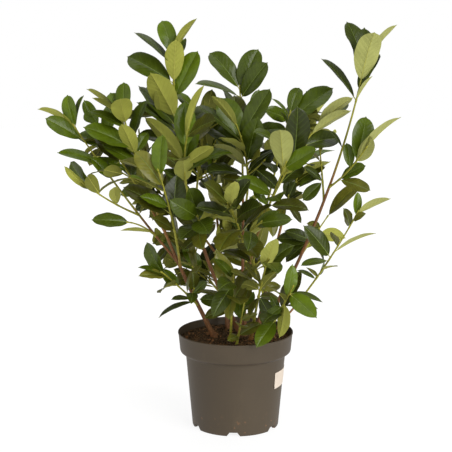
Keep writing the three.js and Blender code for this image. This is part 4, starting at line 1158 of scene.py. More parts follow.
# Bark, in millimetres along and round a limb
OLD_FROM = 140
OLD_FULL = 330
FOOT_SINK = 6
COLLAR = 0.4
COLLAR_REACH = 7
NODE_SWELL = 0.4
NODE_REACH = 2.6
BUD_RUN = np.array([1.2, 3.6, 6.0])
BUD_RADII = [1.7, 1.9, 1.2]
BUD_POINT = 2.4
LOBE_REACH = 15
STEM_SIDES = 14
BOUGH_SIDES = 10
SPRAY_SIDES = 7
LIMB_STEP = 4.0
SPRAY_STEP = 6.0


def limb_part(shoot, leaves, sides, step, dice):
    """A limb with swollen nodes, ridged older bark, a lobed root flare or a collar, and a bud at its tip."""
    count = max(3, math.ceil(shoot.length / step))
    share = np.linspace(0, 1, count + 1)
    centre = shoot.along(share)
    heading = shoot.heading(share)
    radius = shoot.radius(share)
    run = share * shoot.length
    old = eased(OLD_FROM, OLD_FULL, shoot.length - run)
    if shoot.parent:
        radius = radius * (1 + COLLAR * np.exp(-run / COLLAR_REACH))
    else:
        heading[0] = [0, 0, 1]
        centre[0] = [*shoot.start[:2], SOIL_LEVEL - FOOT_SINK]
    for leaf in leaves:
        radius = radius + NODE_SWELL * np.exp(-(((share - leaf.share) * shoot.length / NODE_REACH) ** 2))
    centre = np.concatenate([centre, shoot.end + np.outer(BUD_RUN, heading[-1])])
    heading = np.concatenate([heading, np.repeat(heading[-1:], len(BUD_RUN), 0)])
    radius = np.concatenate([radius, BUD_RADII])
    old = np.concatenate([old, np.zeros(len(BUD_RUN))])
    run = np.concatenate([run, shoot.length + BUD_RUN])
    first = np.cross(SIDE_REFERENCE, heading)
    first /= np.linalg.norm(first, axis=1, keepdims=True)
    second = np.cross(heading, first)
    lobes = [dice.turn() for _ in range(5)]
    around, down = turns(sides)[None], run[:, None]
    relief = 0.05 * np.sin(4 * around + lobes[0] + 1.6 * np.sin(down / 33))
    relief += 0.045 * np.sin(3 * around + lobes[1] + down / 17)
    relief = 1 + relief * old[:, None] + 0.02 * np.sin(2 * around + down / 9 + lobes[2])
    if not shoot.parent:
        foot = np.exp(-down / LOBE_REACH)
        relief += foot * (0.2 * np.sin(3 * around + lobes[3]) + 0.1 * np.sin(5 * around + lobes[4]))
    ring = ring_points(first, second, turns(sides))
    points = centre[:, None] + ring * (radius[:, None] * relief)[..., None]
    tip = centre[-1] + heading[-1] * BUD_POINT
    points = np.concatenate([points.reshape(-1, 3), centre[:1], tip[None]])
    age = np.concatenate([np.repeat(old, sides), [old[0], 0.0]])
    return points, tube_faces(len(centre), sides), age


def wood_piece(shoot, finish):
    """One shoot's stem or bough with its bark, and the twigs of its mass."""
    dice = Dice(SEED + BARK_SEED * shoot.number)
    sides = BOUGH_SIDES if shoot.parent else STEM_SIDES
    parts = [limb_part(shoot, shoot.leaves_on(shoot), sides, LIMB_STEP, dice)]
    for twig in shoot.twigs:
        parts.append(limb_part(twig, shoot.leaves_on(twig), SPRAY_SIDES, SPRAY_STEP, dice))
    faces = []
    offset = 0
    for own, own_faces, _ in parts:
        faces += moved(own_faces, offset)
        offset += len(own)
    points, _, ages = zip(*parts)
    piece = make_piece(f"{shoot.name}_bark", np.concatenate(points), faces, [finish])
    piece.data.attributes.new("age", "FLOAT", "POINT").data.foreach_set("value", np.concatenate(ages))
    return piece


def pot_profile(pot):
    """Radius and height of the pot's section, from under its middle out, over the rim and down inside."""
    base, rim = pot.base_radius / MM, pot.rim_radius / MM
    top, wall = pot.height / MM, pot.wall / MM
    pad, channel, rise = PAD_RADIUS, CHANNEL_RADIUS, CHANNEL_RISE
    shoulder, band = SHOULDER_RADIUS, BAND_RADIUS
    profile = [(0, 0), (pad - 6, 0), (pad - 0.6, 0), (pad + 0.3, 0.7)]
    profile += [(pad + 3.6, rise - 0.7), (pad + 4.6, rise)]
    profile += [(channel - 0.8, rise), (channel, rise - 0.6), (channel + 0.8, 0.7), (channel + 1.4, 0)]
    profile += [(base - 1.3, 0), (base - 0.4, 0.4), (base + 0.1, 1.5)]
    for height in np.linspace(6, SHOULDER_HEIGHT - 3, 16):
        profile.append((base + (shoulder - base) * height / SHOULDER_HEIGHT, height))
    for turn in np.linspace(0, 1, 9):
        radius = shoulder + (band - 0.6 - shoulder) * eased(0, 1, turn)
        profile.append((radius, SHOULDER_HEIGHT + 9.6 * turn**0.8))
    profile += [(band - 0.1, BAND_HEIGHT - 1.4), (band + 0.1, BAND_HEIGHT)]
    for height in np.linspace(BAND_HEIGHT + 4, top - 4.2, 7):
        profile.append((band + (rim - 0.5 - band) * (height - BAND_HEIGHT) / (top - BAND_HEIGHT), height))
    profile += [(rim - 0.3, top - 3.6), (rim, top - 2.9), (rim, top - 1.2), (rim - 0.35, top - 0.4)]
    profile += [(rim - 0.9, top), (rim - 1.7, top), (rim - 2.3, top - 0.5), (rim - 2.5, top - 1.6)]
    profile += [(rim - wall - 0.9, top - 5), (band - wall, BAND_HEIGHT + 2)]
    profile += [(band - wall - 2, BAND_HEIGHT - 0.6)]
    profile += [(shoulder + 2, SHOULDER_HEIGHT + 6), (shoulder - wall, SHOULDER_HEIGHT + 1)]
    profile += [(base + 1 - wall, rise + wall), (pad + 2, rise + wall), (pad - 2, wall), (0, wall)]
    return np.array(profile)


# Columns of the turned meshes, rows of the pot's foot ring, and the turn of a crease in degrees
POT_COLUMNS = 180
FOOT_ROWS = 16
POT_CREASE = 38
SOIL_COLUMNS = 132
SOIL_RINGS = 58
SOIL_MIDDLE = 2.5
SOIL_CROWN = 2.0
SOIL_SIDES = [(85.0, SOIL_BOTTOM), (96.7, 146.6), (106.6, 157.4), (108.6, 160.5), (110.8, SOIL_LEVEL - 4)]
STICKER_CREASE = 40


def notch_height(turn, pot):
    """Height of the foot ring's underside at a bearing: the notches cut up into it."""
    spacing = FULL_TURN / pot.notches
    near = (turn - pot.notch_turn + spacing / 2) % spacing - spacing / 2
    across = np.abs(near) * pot.base_radius
    low, high = pot.notch_bottom / 2, pot.notch_top / 2
    return pot.notch_height / MM * np.clip((low - across) / (low - high), 0, 1)


def pot_piece(pot, finish):
    """The pot as one turned shell, with notches cut in its foot ring."""
    profile = pot_profile(pot)
    turn = list(turns(POT_COLUMNS))
    for i in range(pot.notches):
        notch = pot.notch_turn + i * FULL_TURN / pot.notches
        for corner in (pot.notch_bottom / 2, pot.notch_top / 2):
            turn += [(notch + side * corner / pot.base_radius) % FULL_TURN for side in (-1, 1)]
    turn = np.unique(np.round(turn, 6))
    rows = profile[1:-1]
    height = np.repeat(rows[:, 1:2], len(turn), 1)
    foot = (rows[:, 0] > FOOT_RADIUS) & (np.arange(len(rows)) < FOOT_ROWS)
    height[foot] = np.maximum(height[foot], notch_height(turn, pot)[None])
    points = np.stack([rows[:, :1] * np.sin(turn), -rows[:, :1] * np.cos(turn), height], 2).reshape(-1, 3)
    points = np.concatenate([points, [[0, 0, profile[0, 1]], [0, 0, profile[-1, 1]]]])
    return make_piece("nursery_pot", points, tube_faces(len(rows), len(turn)), [finish], POT_CREASE)


def pot_finish(colours):
    """Matte moulded plastic, dusty, with scuffs and soil marks near its foot."""
    tree = Tree("Taupe pot plastic")
    height = tree.add("SeparateXYZ", {0: tree.place()}).outputs[2]
    cloud = tree.step(tree.noise(9.0, 4.0), 0.3, 0.7)
    tone = tree.mix(cloud, shaded(colours.pot, 0.93), shaded(colours.pot, 1.07))
    scuff = tree.noise(38.0, 5.0, stretch=(1.0, 1.0, 0.35))
    scuff = tree.math("MULTIPLY", tree.step(scuff, 0.6, 0.78), 0.22)
    tone = tree.mix(scuff, tone, shaded(colours.pot, 1.7))
    low = tree.math("SUBTRACT", 1.0, tree.step(height, 0.004, 0.05))
    speck = tree.math("MULTIPLY", tree.step(tree.noise(110.0, 3.0), 0.63, 0.72), low)
    tone = tree.mix(tree.math("MULTIPLY", speck, 0.8), tone, colours.soil_mark)
    grain = tree.noise(900.0, 2.0)
    tree.bump(tree.math("MULTIPLY_ADD", cloud, 0.4, grain), 0.12, 0.0004)
    return tree.finish(tone, 0.56, Specular_IOR_Level=0.38)


def soil_height(x, y):
    """Relief of the soil surface, in millimetres above its level: ripples, a low crown and a sunken edge."""
    dice = Dice(SEED + 77)
    total = np.zeros_like(x)
    for i in range(26):
        wave = 70 * 0.9**i
        turn, phase = dice.turn(), dice.turn()
        ripple = np.sin((x * math.cos(turn) + y * math.sin(turn)) * FULL_TURN / wave + phase)
        total += 0.016 * wave * ripple
    across = np.hypot(x, y)
    return total * 0.75 + SOIL_CROWN * np.exp(-((across / 70) ** 2)) - 2.2 * eased(80, 112, across)


def soil_piece(finish):
    """The root ball and soil, crumbly on top."""
    turn = turns(SOIL_COLUMNS)
    level = np.ones(SOIL_COLUMNS)
    rings = [np.stack([r * np.cos(turn), r * np.sin(turn), z * level], 1) for r, z in SOIL_SIDES]
    for r in np.linspace(SOIL_RADIUS, SOIL_MIDDLE, SOIL_RINGS):
        x, y = r * np.cos(turn), r * np.sin(turn)
        rings.append(np.stack([x, y, SOIL_LEVEL + soil_height(x, y)], 1))
    points = np.concatenate(rings + [[[0, 0, SOIL_BOTTOM], [0, 0, SOIL_LEVEL + SOIL_CROWN]]])
    return make_piece("potting_soil", points, tube_faces(len(rings), SOIL_COLUMNS), [finish])


def soil_finish(colours):
    tree = Tree("Peat soil")
    crumb = tree.noise(210.0, 5.0)
    patch = tree.step(tree.noise(48.0, 3.0), 0.35, 0.68)
    tone = tree.mix(tree.step(crumb, 0.35, 0.7), shaded(colours.soil, 0.45), shaded(colours.soil, 1.35))
    tone = tree.mix(tree.math("MULTIPLY", patch, 0.35), tone, colours.soil_mark)
    tree.bump(crumb, 0.8, 0.003)
    return tree.finish(tone, 0.95, Specular_IOR_Level=0.15)


def crumb_finish(name, color):
    tree = Tree(name)
    tone = tree.mix(tree.step(tree.noise(160.0, 3.0), 0.3, 0.72), shaded(color, 0.5), shaded(color, 1.35))
    return tree.finish(tone, 0.9, Specular_IOR_Level=0.15)


# Nodes that strew bits over a surface: inputs, nodes, and links from a node's output to a node's input
SCATTER_INPUTS = {
    "Surface": "Geometry", "Bits per area": "Float", "Smallest": "Float", "Largest": "Float",
    "Tumble": "Float", "Seed": "Int", "Bit": "Object", "Finish": "Material",
}
SCATTER_NODES = {
    "given": "NodeGroupInput", "result": "NodeGroupOutput", "strew": "GeometryNodeDistributePointsOnFaces",
    "shape": "GeometryNodeObjectInfo", "size": "FunctionNodeRandomValue", "tumble": "FunctionNodeRandomValue",
    "least": "ShaderNodeCombineXYZ", "most": "ShaderNodeCombineXYZ", "back": "ShaderNodeMath",
    "turn": "FunctionNodeRotateRotation", "spin": "FunctionNodeEulerToRotation",
    "put": "GeometryNodeInstanceOnPoints", "real": "GeometryNodeRealizeInstances",
    "paint": "GeometryNodeSetMaterial",
}
SCATTER_LINKS = (
    ("given", "Surface", "strew", "Mesh"), ("given", "Bits per area", "strew", "Density"),
    ("given", "Seed", "strew", "Seed"), ("given", "Bit", "shape", "Object"), ("given", "Smallest", "size", 2),
    ("given", "Largest", "size", 3), ("given", "Seed", "size", "Seed"), ("given", "Seed", "tumble", "Seed"),
    ("given", "Tumble", "back", 0), ("given", "Tumble", "most", "X"), ("given", "Tumble", "most", "Y"),
    ("back", 0, "least", "X"), ("back", 0, "least", "Y"), ("least", 0, "tumble", 0), ("most", 0, "tumble", 1),
    ("tumble", 0, "spin", 0), ("strew", "Rotation", "turn", 0), ("spin", 0, "turn", 1),
    ("strew", "Points", "put", "Points"), ("shape", "Geometry", "put", "Instance"),
    ("turn", 0, "put", "Rotation"), ("size", 1, "put", "Scale"), ("put", 0, "real", 0),
    ("real", 0, "paint", "Geometry"), ("given", "Finish", "paint", "Material"), ("paint", 0, "result", 0),
)


def scatter_tree():
    """Geometry nodes that strew one small shape over a surface, turned and sized by chance."""
    tree = bpy.data.node_groups.new("Strewn bits", "GeometryNodeTree")
    for name, kind in SCATTER_INPUTS.items():
        tree.interface.new_socket(name, in_out="INPUT", socket_type="NodeSocket" + kind)
    tree.interface.new_socket("Bits", in_out="OUTPUT", socket_type="NodeSocketGeometry")
    nodes = {name: tree.nodes.new(kind) for name, kind in SCATTER_NODES.items()}
    nodes["tumble"].data_type = "FLOAT_VECTOR"
    nodes["back"].operation = "MULTIPLY"
    nodes["back"].inputs[1].default_value = -1
    nodes["turn"].rotation_space = "LOCAL"
    nodes["most"].inputs["Z"].default_value = FULL_TURN
    for source, output, target, socket in SCATTER_LINKS:
        tree.links.new(nodes[source].outputs[output], nodes[target].inputs[socket])
    return tree


def strew(name, tree, surface, values):
    """A plain mesh of bits strewn over a surface mesh."""
    carrier = place(name, surface)
    modifier = carrier.modifiers.new("Strewn bits", "NODES")
    modifier.node_group = tree
    for item in tree.interface.items_tree:
        if item.in_out == "INPUT" and item.name in values:
            modifier[item.identifier] = values[item.name]
    bpy.context.view_layer.update()
    made = bpy.data.meshes.new_from_object(carrier.evaluated_get(bpy.context.evaluated_depsgraph_get()))
    made.name = name
    carrier.modifiers.clear()
    carrier.data = made
    return carrier


# Shape of a strewn bit
BIT_RINGS = 4
BIT_SIDES = 6
BIT_FULLNESS = 0.6


def bit_mesh(name, long, wide, thick, lumps, seed):
    """A small closed lump with its own knobs: long, wide and thick, in millimetres."""
    dice = Dice(seed)
    points = []
    for i in range(BIT_RINGS):
        share = (i + 0.5) / BIT_RINGS
        full = math.sin(math.pi * share) ** BIT_FULLNESS
        sway = [dice.spread(lumps * wide), dice.spread(lumps * thick)]
        for turn in turns(BIT_SIDES):
            knob = 0.5 * full * (1 + dice.spread(lumps))
            side, up = sway[0] + wide * knob * math.cos(turn), sway[1] + thick * knob * math.sin(turn)
            points.append([(share - 0.5) * long, side, up])
    points += [[-0.5 * long, 0, 0], [0.5 * long, 0, 0]]
    mesh = bpy.data.meshes.new(name)
    mesh.from_pydata(np.array(points) * MM, [], tube_faces(BIT_RINGS, BIT_SIDES))
    return mesh


def sticker_piece(label, finish):
    """A blank sticker round the tapering wall, one corner lifting a little."""
    columns, rows = 25, 13
    bearing = np.linspace(label.left, label.right, columns)
    height = np.linspace(label.low, label.high, rows) / MM
    bearing, height = np.meshgrid(bearing, height)
    across, up = np.meshgrid(np.linspace(0, 1, columns), np.linspace(0, 1, rows))
    lift = 0.9 * np.clip(1 - np.hypot(across / 0.3, up / 0.45), 0, 1) ** 1.5
    lift += 0.12 * np.sin(9 * across + 4 * up) * np.sin(math.pi * up)
    wall = BASE_RADIUS + (SHOULDER_RADIUS - BASE_RADIUS) * height / SHOULDER_HEIGHT
    layers = []
    for depth in (0.12, 0.12 + label.thickness / MM):
        radius = wall + GAP + depth + lift
        layer = np.stack([radius * np.sin(bearing), -radius * np.cos(bearing), height], 2)
        layers.append(layer.reshape(-1, 3))
    outer = grid_faces(rows, columns)
    count = rows * columns
    faces = [face[::-1] for face in outer] + moved(outer, count)
    rim = [*range(columns), *range(2 * columns - 1, count, columns)]
    rim += [*range(count - 2, count - columns - 1, -1), *range(count - 2 * columns, 0, -columns)]
    faces += [[a, b, b + count, a + count] for a, b in zip(rim, rim[1:] + rim[:1])]
    return make_piece("blank_sticker", np.concatenate(layers), faces, [finish], STICKER_CREASE)


def sticker_finish(colours):
    tree = Tree("Cream sticker paper")
    stain = tree.step(tree.noise(26.0, 4.0), 0.4, 0.75)
    tone = tree.mix(tree.math("MULTIPLY", stain, 0.5), colours.sticker, shaded(colours.sticker, 0.86))
    fibre = tree.noise(420.0, 4.0)
    tree.bump(fibre, 0.15, 0.0003)
    return tree.finish(tone, 0.7, Specular_IOR_Level=0.3)


def linear(*levels):
    """A colour as it looks, from 0 to 255, turned into Blender's linear values."""
    values = np.array(levels) / 255
    curve = np.where(values <= 0.04045, values / 12.92, ((values + 0.055) / 1.055) ** 2.4)
    return tuple(float(value) for value in curve)


def number(name, description, default, **limits):
    return bpy.props.FloatProperty(name=name, description=description, default=default, **limits)


def length(name, description, default):
    return number(name, description, default, min=0, precision=4, subtype="DISTANCE", unit="LENGTH")


def angle(name, description, degrees):
    return number(name, description, math.radians(degrees), subtype="ANGLE", unit="ROTATION")


def share(name, description, default):
    return number(name, description, default, min=0, max=1, subtype="FACTOR")


def count(name, description, default):
    return bpy.props.IntProperty(name=name, description=description, default=default, min=1)


def colour(name, description, *looks):
    return bpy.props.FloatVectorProperty(name=name, description=description, default=linear(*looks), size=3,
                                         min=0, max=1, subtype="COLOR")


def strength(name, description, default):
    return number(name, description, default, min=0)


class PotSettings(bpy.types.PropertyGroup):
    """Sizes of the nursery pot."""

    height: length("Height", "From the floor to the top of the rim", POT_HEIGHT * MM)
    rim_radius: length("Rim radius", "Outside of the rim at its top", RIM_RADIUS * MM)
    base_radius: length("Base radius", "Outside of the wall at the floor", BASE_RADIUS * MM)
    wall: length("Wall", "Thickness of the moulded wall", WALL * MM)
    notches: count("Notches", "Drain notches round the foot", 6)
    notch_bottom: length("Notch bottom", "Width of a notch at the floor", 0.027)
    notch_top: length("Notch top", "Width of a notch at its top", 0.015)
    notch_height: length("Notch height", "How far a notch cuts up into the foot ring", 0.008)
    notch_turn: angle("Notch turn", "Bearing of the front notch, towards the right", -3)


class StickerSettings(bpy.types.PropertyGroup):
    """Place of the blank sticker on the pot wall."""

    left: angle("Left edge", "Bearing from the front, towards the right", 53)
    right: angle("Right edge", "Bearing from the front, towards the right", 96)
    low: length("Lower edge", "Height above the floor", 0.088)
    high: length("Upper edge", "Height above the floor", 0.121)
    thickness: length("Thickness", "Thickness of the paper", 0.0003)


class LeafSettings(bpy.types.PropertyGroup):
    """Shape and surface of the leaves."""

    leaf_thickness: length("Thickness", "Thickness of a blade", 0.0005)
    midrib_width: length("Midrib", "Half width of the midrib at its foot", 0.0009)
    veins: count("Veins", "Lateral veins on each side", 9)
    vein_rake: share("Vein rake", "How far a vein runs forward on its way to the margin", 0.3)
    vein_strength: share("Vein strength", "How clearly the lateral veins show", 0.3)
    quilting: share("Quilting", "Strength of the swelling between veins", 0.4)
    coat: share("Gloss", "Weight of the glossy skin on the upper side", 0.2)
    low_taper: share("Low taper", "How much slimmer the ends of the lowest blades are", 0.3)
    point_length: share("Point length", "Share of the blade that is its short point", 0.04)
    point_width: share("Point width", "Width of the short point", 0.19)
    tip_curl: angle("Tip curl", "Most that a tip curls up or down", 16)
    twist: angle("Twist", "Most that a blade twists along its length", 16)
    fold: angle("Fold", "Rise of each half of a blade from the midrib", 14)
    fold_spread: angle("Fold spread", "How much blades differ in their fold along the midrib", 6)
    width_spread: share("Width spread", "How much blades differ in width", 0.09)
    edge_wave: share("Edge wave", "Rise and fall of the margin, as a share of the width", 0.035)
    damaged: share("Damaged", "Share of the leaves with a bite out of the margin", 0.07)


class ColourSettings(bpy.types.PropertyGroup):
    """Colours of every surface."""

    # Upper-side tints: the darkest go to leaves inside the crown and turned from the front, as painted shade;
    # the brighter ones go to young leaves and, as painted light, to leaves that face the front.
    top_1: colour("Upper side, darkest", "Darkest leaves, inside", 42, 50, 7)
    top_2: colour("Upper side, dark", "Dark leaves", 52, 62, 8)
    top_3: colour("Upper side, ripe", "Most leaves", 62, 75, 9)
    top_4: colour("Upper side, fresh", "Bright leaves", 72, 88, 10)
    top_5: colour("Upper side, young", "Leaves near the tips", 83, 102, 12)
    top_6: colour("Upper side, old", "Olive leaves, low and inside", 60, 62, 11)
    top_7: colour("Upper side, older", "Dull olive leaves", 84, 84, 22)
    top_8: colour("Upper side, oldest", "Pale olive leaves", 104, 103, 34)
    # Lower-side tints carry painted shade and light: the deep and dull ones go to leaves within the crown,
    # low down and on the left, the pale and palest ones to leaves high up and on the right, where the key
    # light falls.
    under_1: colour("Lower side, deep", "Matte side of leaves within the crown", 96, 98, 38)
    under_2: colour("Lower side, dull", "Matte side of low leaves", 112, 114, 46)
    under_3: colour("Lower side, plain", "Matte side of most leaves", 148, 150, 64)
    under_4: colour("Lower side, pale", "Matte side of high leaves", 156, 158, 76)
    under_5: colour("Lower side, palest", "Matte side of the leaves on the right", 158, 160, 92)
    rib_top: colour("Midrib above", "Midrib on the upper side", 96, 112, 40)
    rib_under: colour("Midrib below", "Midrib on the lower side, and petioles", 162, 160, 70)
    vein: colour("Veins", "Lateral veins on the upper side", 82, 100, 32)
    vein_under: colour("Veins below", "Lateral veins on the lower side", 122, 124, 48)
    young_wood: colour("Young wood", "Green shoots", 162, 159, 54)
    ripe_wood: colour("Ripe wood", "Shoots that turn brown", 152, 106, 58)
    old_wood: colour("Old wood", "Bark at the foot", 124, 82, 46)
    pore: colour("Pores", "Breathing pores of the bark", 168, 130, 92)
    pot: colour("Pot", "Moulded plastic", 67, 56, 40)
    soil: colour("Soil", "Peat", 74, 57, 38)
    soil_mark: colour("Soil marks", "Dry reddish soil", 124, 86, 55)
    fibre: colour("Fibres", "Dry fibres in the soil", 156, 116, 74)
    sticker: colour("Sticker", "Blank paper", 208, 194, 178)
    floor: colour("Floor", "Studio floor", 122, 122, 122)


class StageSettings(bpy.types.PropertyGroup):
    """Lights and camera."""

    key: strength("Key light", "Broad soft light from the right front", 2.7)
    fill: strength("Fill light", "Broad soft light from the left front", 1.2)
    back: strength("Top light", "Broad soft light from above", 1.1)
    room: strength("Room light", "Even light from all round", 0.22)
    lens: number("Lens", "Focal length in millimetres", 103.14, min=1)
    tilt: angle("Tilt", "How far the camera looks down", 10.14)


class Maker:
    """What every button of the panel does: make its pieces once, with undo."""

    bl_options = {"REGISTER", "UNDO"}

    def execute(self, context):
        self.make(context.scene)
        return {"FINISHED"}


class LAUREL_OT_pot(Maker, bpy.types.Operator):
    """Turn the nursery pot with its rim band and notched foot"""

    bl_idname = "laurel.make_pot"
    bl_label = "Make pot"

    def make(self, scene):
        piece = pot_piece(scene.laurel_pot, pot_finish(scene.laurel_colours))
        settle(piece, "pot", "pot")


class LAUREL_OT_soil(Maker, bpy.types.Operator):
    """Fill the pot with crumbly soil and strew crumbs, chips and fibres on it"""

    bl_idname = "laurel.make_soil"
    bl_label = "Make soil"

    def make(self, scene):
        colours = scene.laurel_colours
        soil = soil_piece(soil_finish(colours))
        settle(soil, "soil", "soil")
        tree = scatter_tree()
        kinds = (
            ("soil_crumbs", (5.5, 4.6, 3.6), 0.28, 26000, (0.5, 1.6), 1.2, colours.soil),
            ("bark_chips", (13, 5.0, 2.2), 0.22, 5200, (0.5, 1.25), 0.35, colours.soil_mark),
            ("soil_fibres", (22, 0.8, 0.8), 0.9, 6500, (0.5, 1.3), 0.4, colours.fibre),
        )
        for number, (name, sizes, lumps, crowd, (least, most), tumble, color) in enumerate(kinds):
            top = soil.data.copy()
            keep_upper_faces(top, (SOIL_REACH - 0.5 * sizes[0] * most) * MM)
            bit = place(name + "_bit", bit_mesh(name, *sizes, lumps, SEED + number))
            finish = crumb_finish(name.replace("_", " ").capitalize(), color)
            values = {"Bits per area": float(crowd), "Smallest": least, "Largest": most, "Tumble": tumble,
                      "Seed": 11 + number, "Bit": bit, "Finish": finish}
            settle(strew(name, tree, top, values), "soil", "soil")
            bpy.data.objects.remove(bit)


class LAUREL_OT_sticker(Maker, bpy.types.Operator):
    """Put the blank sticker on the pot wall"""

    bl_idname = "laurel.make_sticker"
    bl_label = "Make sticker"

    def make(self, scene):
        piece = sticker_piece(scene.laurel_sticker, sticker_finish(scene.laurel_colours))
        settle(piece, "sticker", "sticker")


class LAUREL_OT_wood(Maker, bpy.types.Operator):
    """Grow the stems, boughs and twigs with their bark"""

    bl_idname = "laurel.make_wood"
    bl_label = "Make stems and boughs"

    def make(self, scene):
        finish = bark_finish("Laurel bark", scene.laurel_colours)
        for shoot in grown_plant().values():
            piece = wood_piece(shoot, finish)
            nodes = [f"{shoot.name}_foliage"]
            if shoot.bare:
                nodes.append(f"{shoot.name}_{'bough' if shoot.parent else 'stem'}")
            settle(piece, "bark", *nodes)


class LAUREL_OT_leaves(Maker, bpy.types.Operator):
    """Grow the leaves of every mass"""

    bl_idname = "laurel.make_leaves"
    bl_label = "Make leaves"

    def make(self, scene):
        look = scene.laurel_leaf
        colours = scene.laurel_colours
        finishes = []
        for i in range(1, TOP_TINTS + 1):
            color = getattr(colours, f"top_{i}")
            vein = colours.vein
            finishes.append(leaf_finish(f"Leaf top {i}", color, vein, look, coat=look.coat, **TOP_SKIN))
        for i in range(1, UNDER_TINTS + 1):
            color = getattr(colours, f"under_{i}")
            vein = colours.vein_under
            finishes.append(leaf_finish(f"Leaf underside {i}", color, vein, look, coat=0.0, **UNDER_SKIN))
        finishes.append(rib_finish("Midrib above", colours.rib_top, 0.42))
        finishes.append(rib_finish("Midrib below", colours.rib_under, 0.5))
        for shoot in grown_plant().values():
            settle(leaf_piece(shoot, look, finishes), "foliage", f"{shoot.name}_foliage")


# Lights by the setting of their power: name, where they come from and spread in degrees
LIGHTS = {
    "key": ("Key light", (0.85, -1.0, 0.55), 45),
    "fill": ("Fill light", (-1.0, -1.0, 0.3), 80),
    "back": ("Top light", (0.1, 0.35, 1.0), 70),
}
CAMERA_PLACE = (-0.019, -2.514, 0.854)
SENSOR_WIDTH = 36


class LAUREL_OT_stage(Maker, bpy.types.Operator):
    """Set the pale floor, the soft lights and the camera"""

    bl_idname = "laurel.make_stage"
    bl_label = "Make stage"

    def make(self, scene):
        stage = scene.laurel_stage
        floor_stage(scene.laurel_colours.floor)
        for setting, (name, towards, spread) in LIGHTS.items():
            soft_light(name, towards, spread, getattr(stage, setting))
        room_light(scene, stage.room)
        camera = bpy.data.cameras.new("Camera")
        camera.lens = stage.lens
        camera.sensor_width = SENSOR_WIDTH
        viewer = place("Camera", camera)
        viewer.location = CAMERA_PLACE
        viewer.rotation_euler = (math.pi / 2 - stage.tilt, 0, 0)
        scene.camera = viewer
        scene.view_settings.view_transform = "Standard"


# Soil faces that carry bits, by the rise of their normal and their height, and the floor, in metres
UP_LEAST = 0.3
UP_FROM = 0.15
FLOOR_RADIUS = 6
FLOOR_SIDES = 96


def mesh_values(items, name):
    """Three values of every vertex or face of a mesh, in rows."""
    values = np.zeros(3 * len(items))
    items.foreach_get(name, values)
    return values.reshape(-1, 3)


def keep_upper_faces(mesh, reach):
    """Leaves only the faces that look up, within a reach of the middle, for bits to lie on."""
    normals = mesh_values(mesh.polygons, "normal")
    centres = mesh_values(mesh.polygons, "center")
    points = mesh_values(mesh.vertices, "co")
    near = np.hypot(centres[:, 0], centres[:, 1]) < reach
    up = (normals[:, 2] > UP_LEAST) & (centres[:, 2] > UP_FROM) & near
    faces = [list(face.vertices) for face, kept in zip(mesh.polygons, up) if kept]
    mesh.clear_geometry()
    mesh.from_pydata(points, [], faces)


def floor_stage(color):
    """A wide pale disc under the pot."""
    turn = turns(FLOOR_SIDES)
    points = FLOOR_RADIUS * np.stack([np.cos(turn), np.sin(turn), np.zeros(FLOOR_SIDES)], 1)
    mesh = bpy.data.meshes.new("studio_floor")
    mesh.from_pydata(points, [], [list(range(FLOOR_SIDES))])
    tree = Tree("Studio floor")
    tone = tree.mix(tree.step(tree.noise(3.0, 2.0), 0.3, 0.7), shaded(color, 0.985), color)
    glow = {"Emission_Color": (1.0, 1.0, 1.0), "Emission_Strength": 0.86}
    mesh.materials.append(tree.finish(tone, 0.8, Specular_IOR_Level=0.2, **glow))
    place("studio_floor", mesh)


def soft_light(name, towards, spread, power):
    """A broad even light from a direction, as soft as its spread in degrees."""
    light = bpy.data.lights.new(name, "SUN")
    light.energy = power
    light.angle = math.radians(spread)
    lamp = place(name, light)
    x, y, z = towards
    lamp.location = towards
    lamp.rotation_euler = (math.atan2(math.hypot(x, y), z), 0, math.atan2(x, -y))


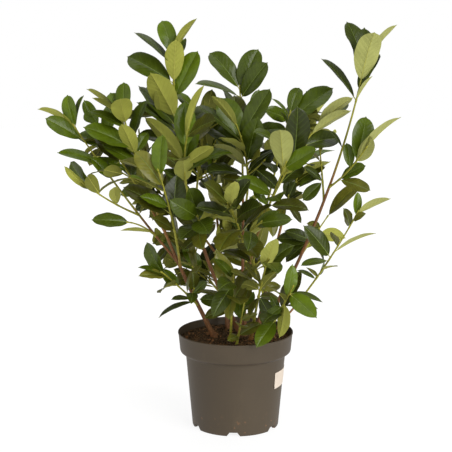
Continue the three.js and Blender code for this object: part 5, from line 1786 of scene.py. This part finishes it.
def room_light(scene, strength):
    """Even light from all round, before a white backdrop."""
    world = bpy.data.worlds.new("Studio")
    world.use_nodes = True
    nodes, links = world.node_tree.nodes, world.node_tree.links
    nodes.clear()
    lit, seen = (nodes.new("ShaderNodeBackground") for _ in range(2))
    lit.inputs["Strength"].default_value = strength
    for light in (lit, seen):
        light.inputs["Color"].default_value = (1, 1, 1, 1)
    ray = nodes.new("ShaderNodeLightPath")
    mix = nodes.new("ShaderNodeMixShader")
    output = nodes.new("ShaderNodeOutputWorld")
    links.new(ray.outputs["Is Camera Ray"], mix.inputs[0])
    links.new(lit.outputs[0], mix.inputs[1])
    links.new(seen.outputs[0], mix.inputs[2])
    links.new(mix.outputs[0], output.inputs["Surface"])
    scene.world = world


SETTINGS = {
    "laurel_pot": PotSettings,
    "laurel_sticker": StickerSettings,
    "laurel_leaf": LeafSettings,
    "laurel_colours": ColourSettings,
    "laurel_stage": StageSettings,
}
MAKERS = [LAUREL_OT_pot, LAUREL_OT_soil, LAUREL_OT_sticker, LAUREL_OT_wood, LAUREL_OT_leaves, LAUREL_OT_stage]


class LAUREL_PT_panel(bpy.types.Panel):
    """Sizes, colours and buttons of the potted laurel"""

    bl_idname = "LAUREL_PT_panel"
    bl_label = "Potted laurel"
    bl_space_type = "VIEW_3D"
    bl_region_type = "UI"
    bl_category = "Laurel"

    def draw(self, context):
        for maker in MAKERS:
            self.layout.operator(maker.bl_idname)
        for name, group in SETTINGS.items():
            box = self.layout.box()
            box.label(text=group.__doc__)
            for key in group.__annotations__:
                box.prop(getattr(context.scene, name), key)


CLASSES = [*SETTINGS.values(), *MAKERS, LAUREL_PT_panel]


def register():
    for cls in CLASSES:
        bpy.utils.register_class(cls)
    for name, group in SETTINGS.items():
        setattr(bpy.types.Scene, name, bpy.props.PointerProperty(type=group))


def unregister():
    for name in SETTINGS:
        delattr(bpy.types.Scene, name)
    for cls in reversed(CLASSES):
        bpy.utils.unregister_class(cls)


def main():
    register()
    bpy.ops.laurel.make_pot()
    bpy.ops.laurel.make_soil()
    bpy.ops.laurel.make_sticker()
    bpy.ops.laurel.make_wood()
    bpy.ops.laurel.make_leaves()
    bpy.ops.laurel.make_stage()


if __name__ == "__main__":
    main()
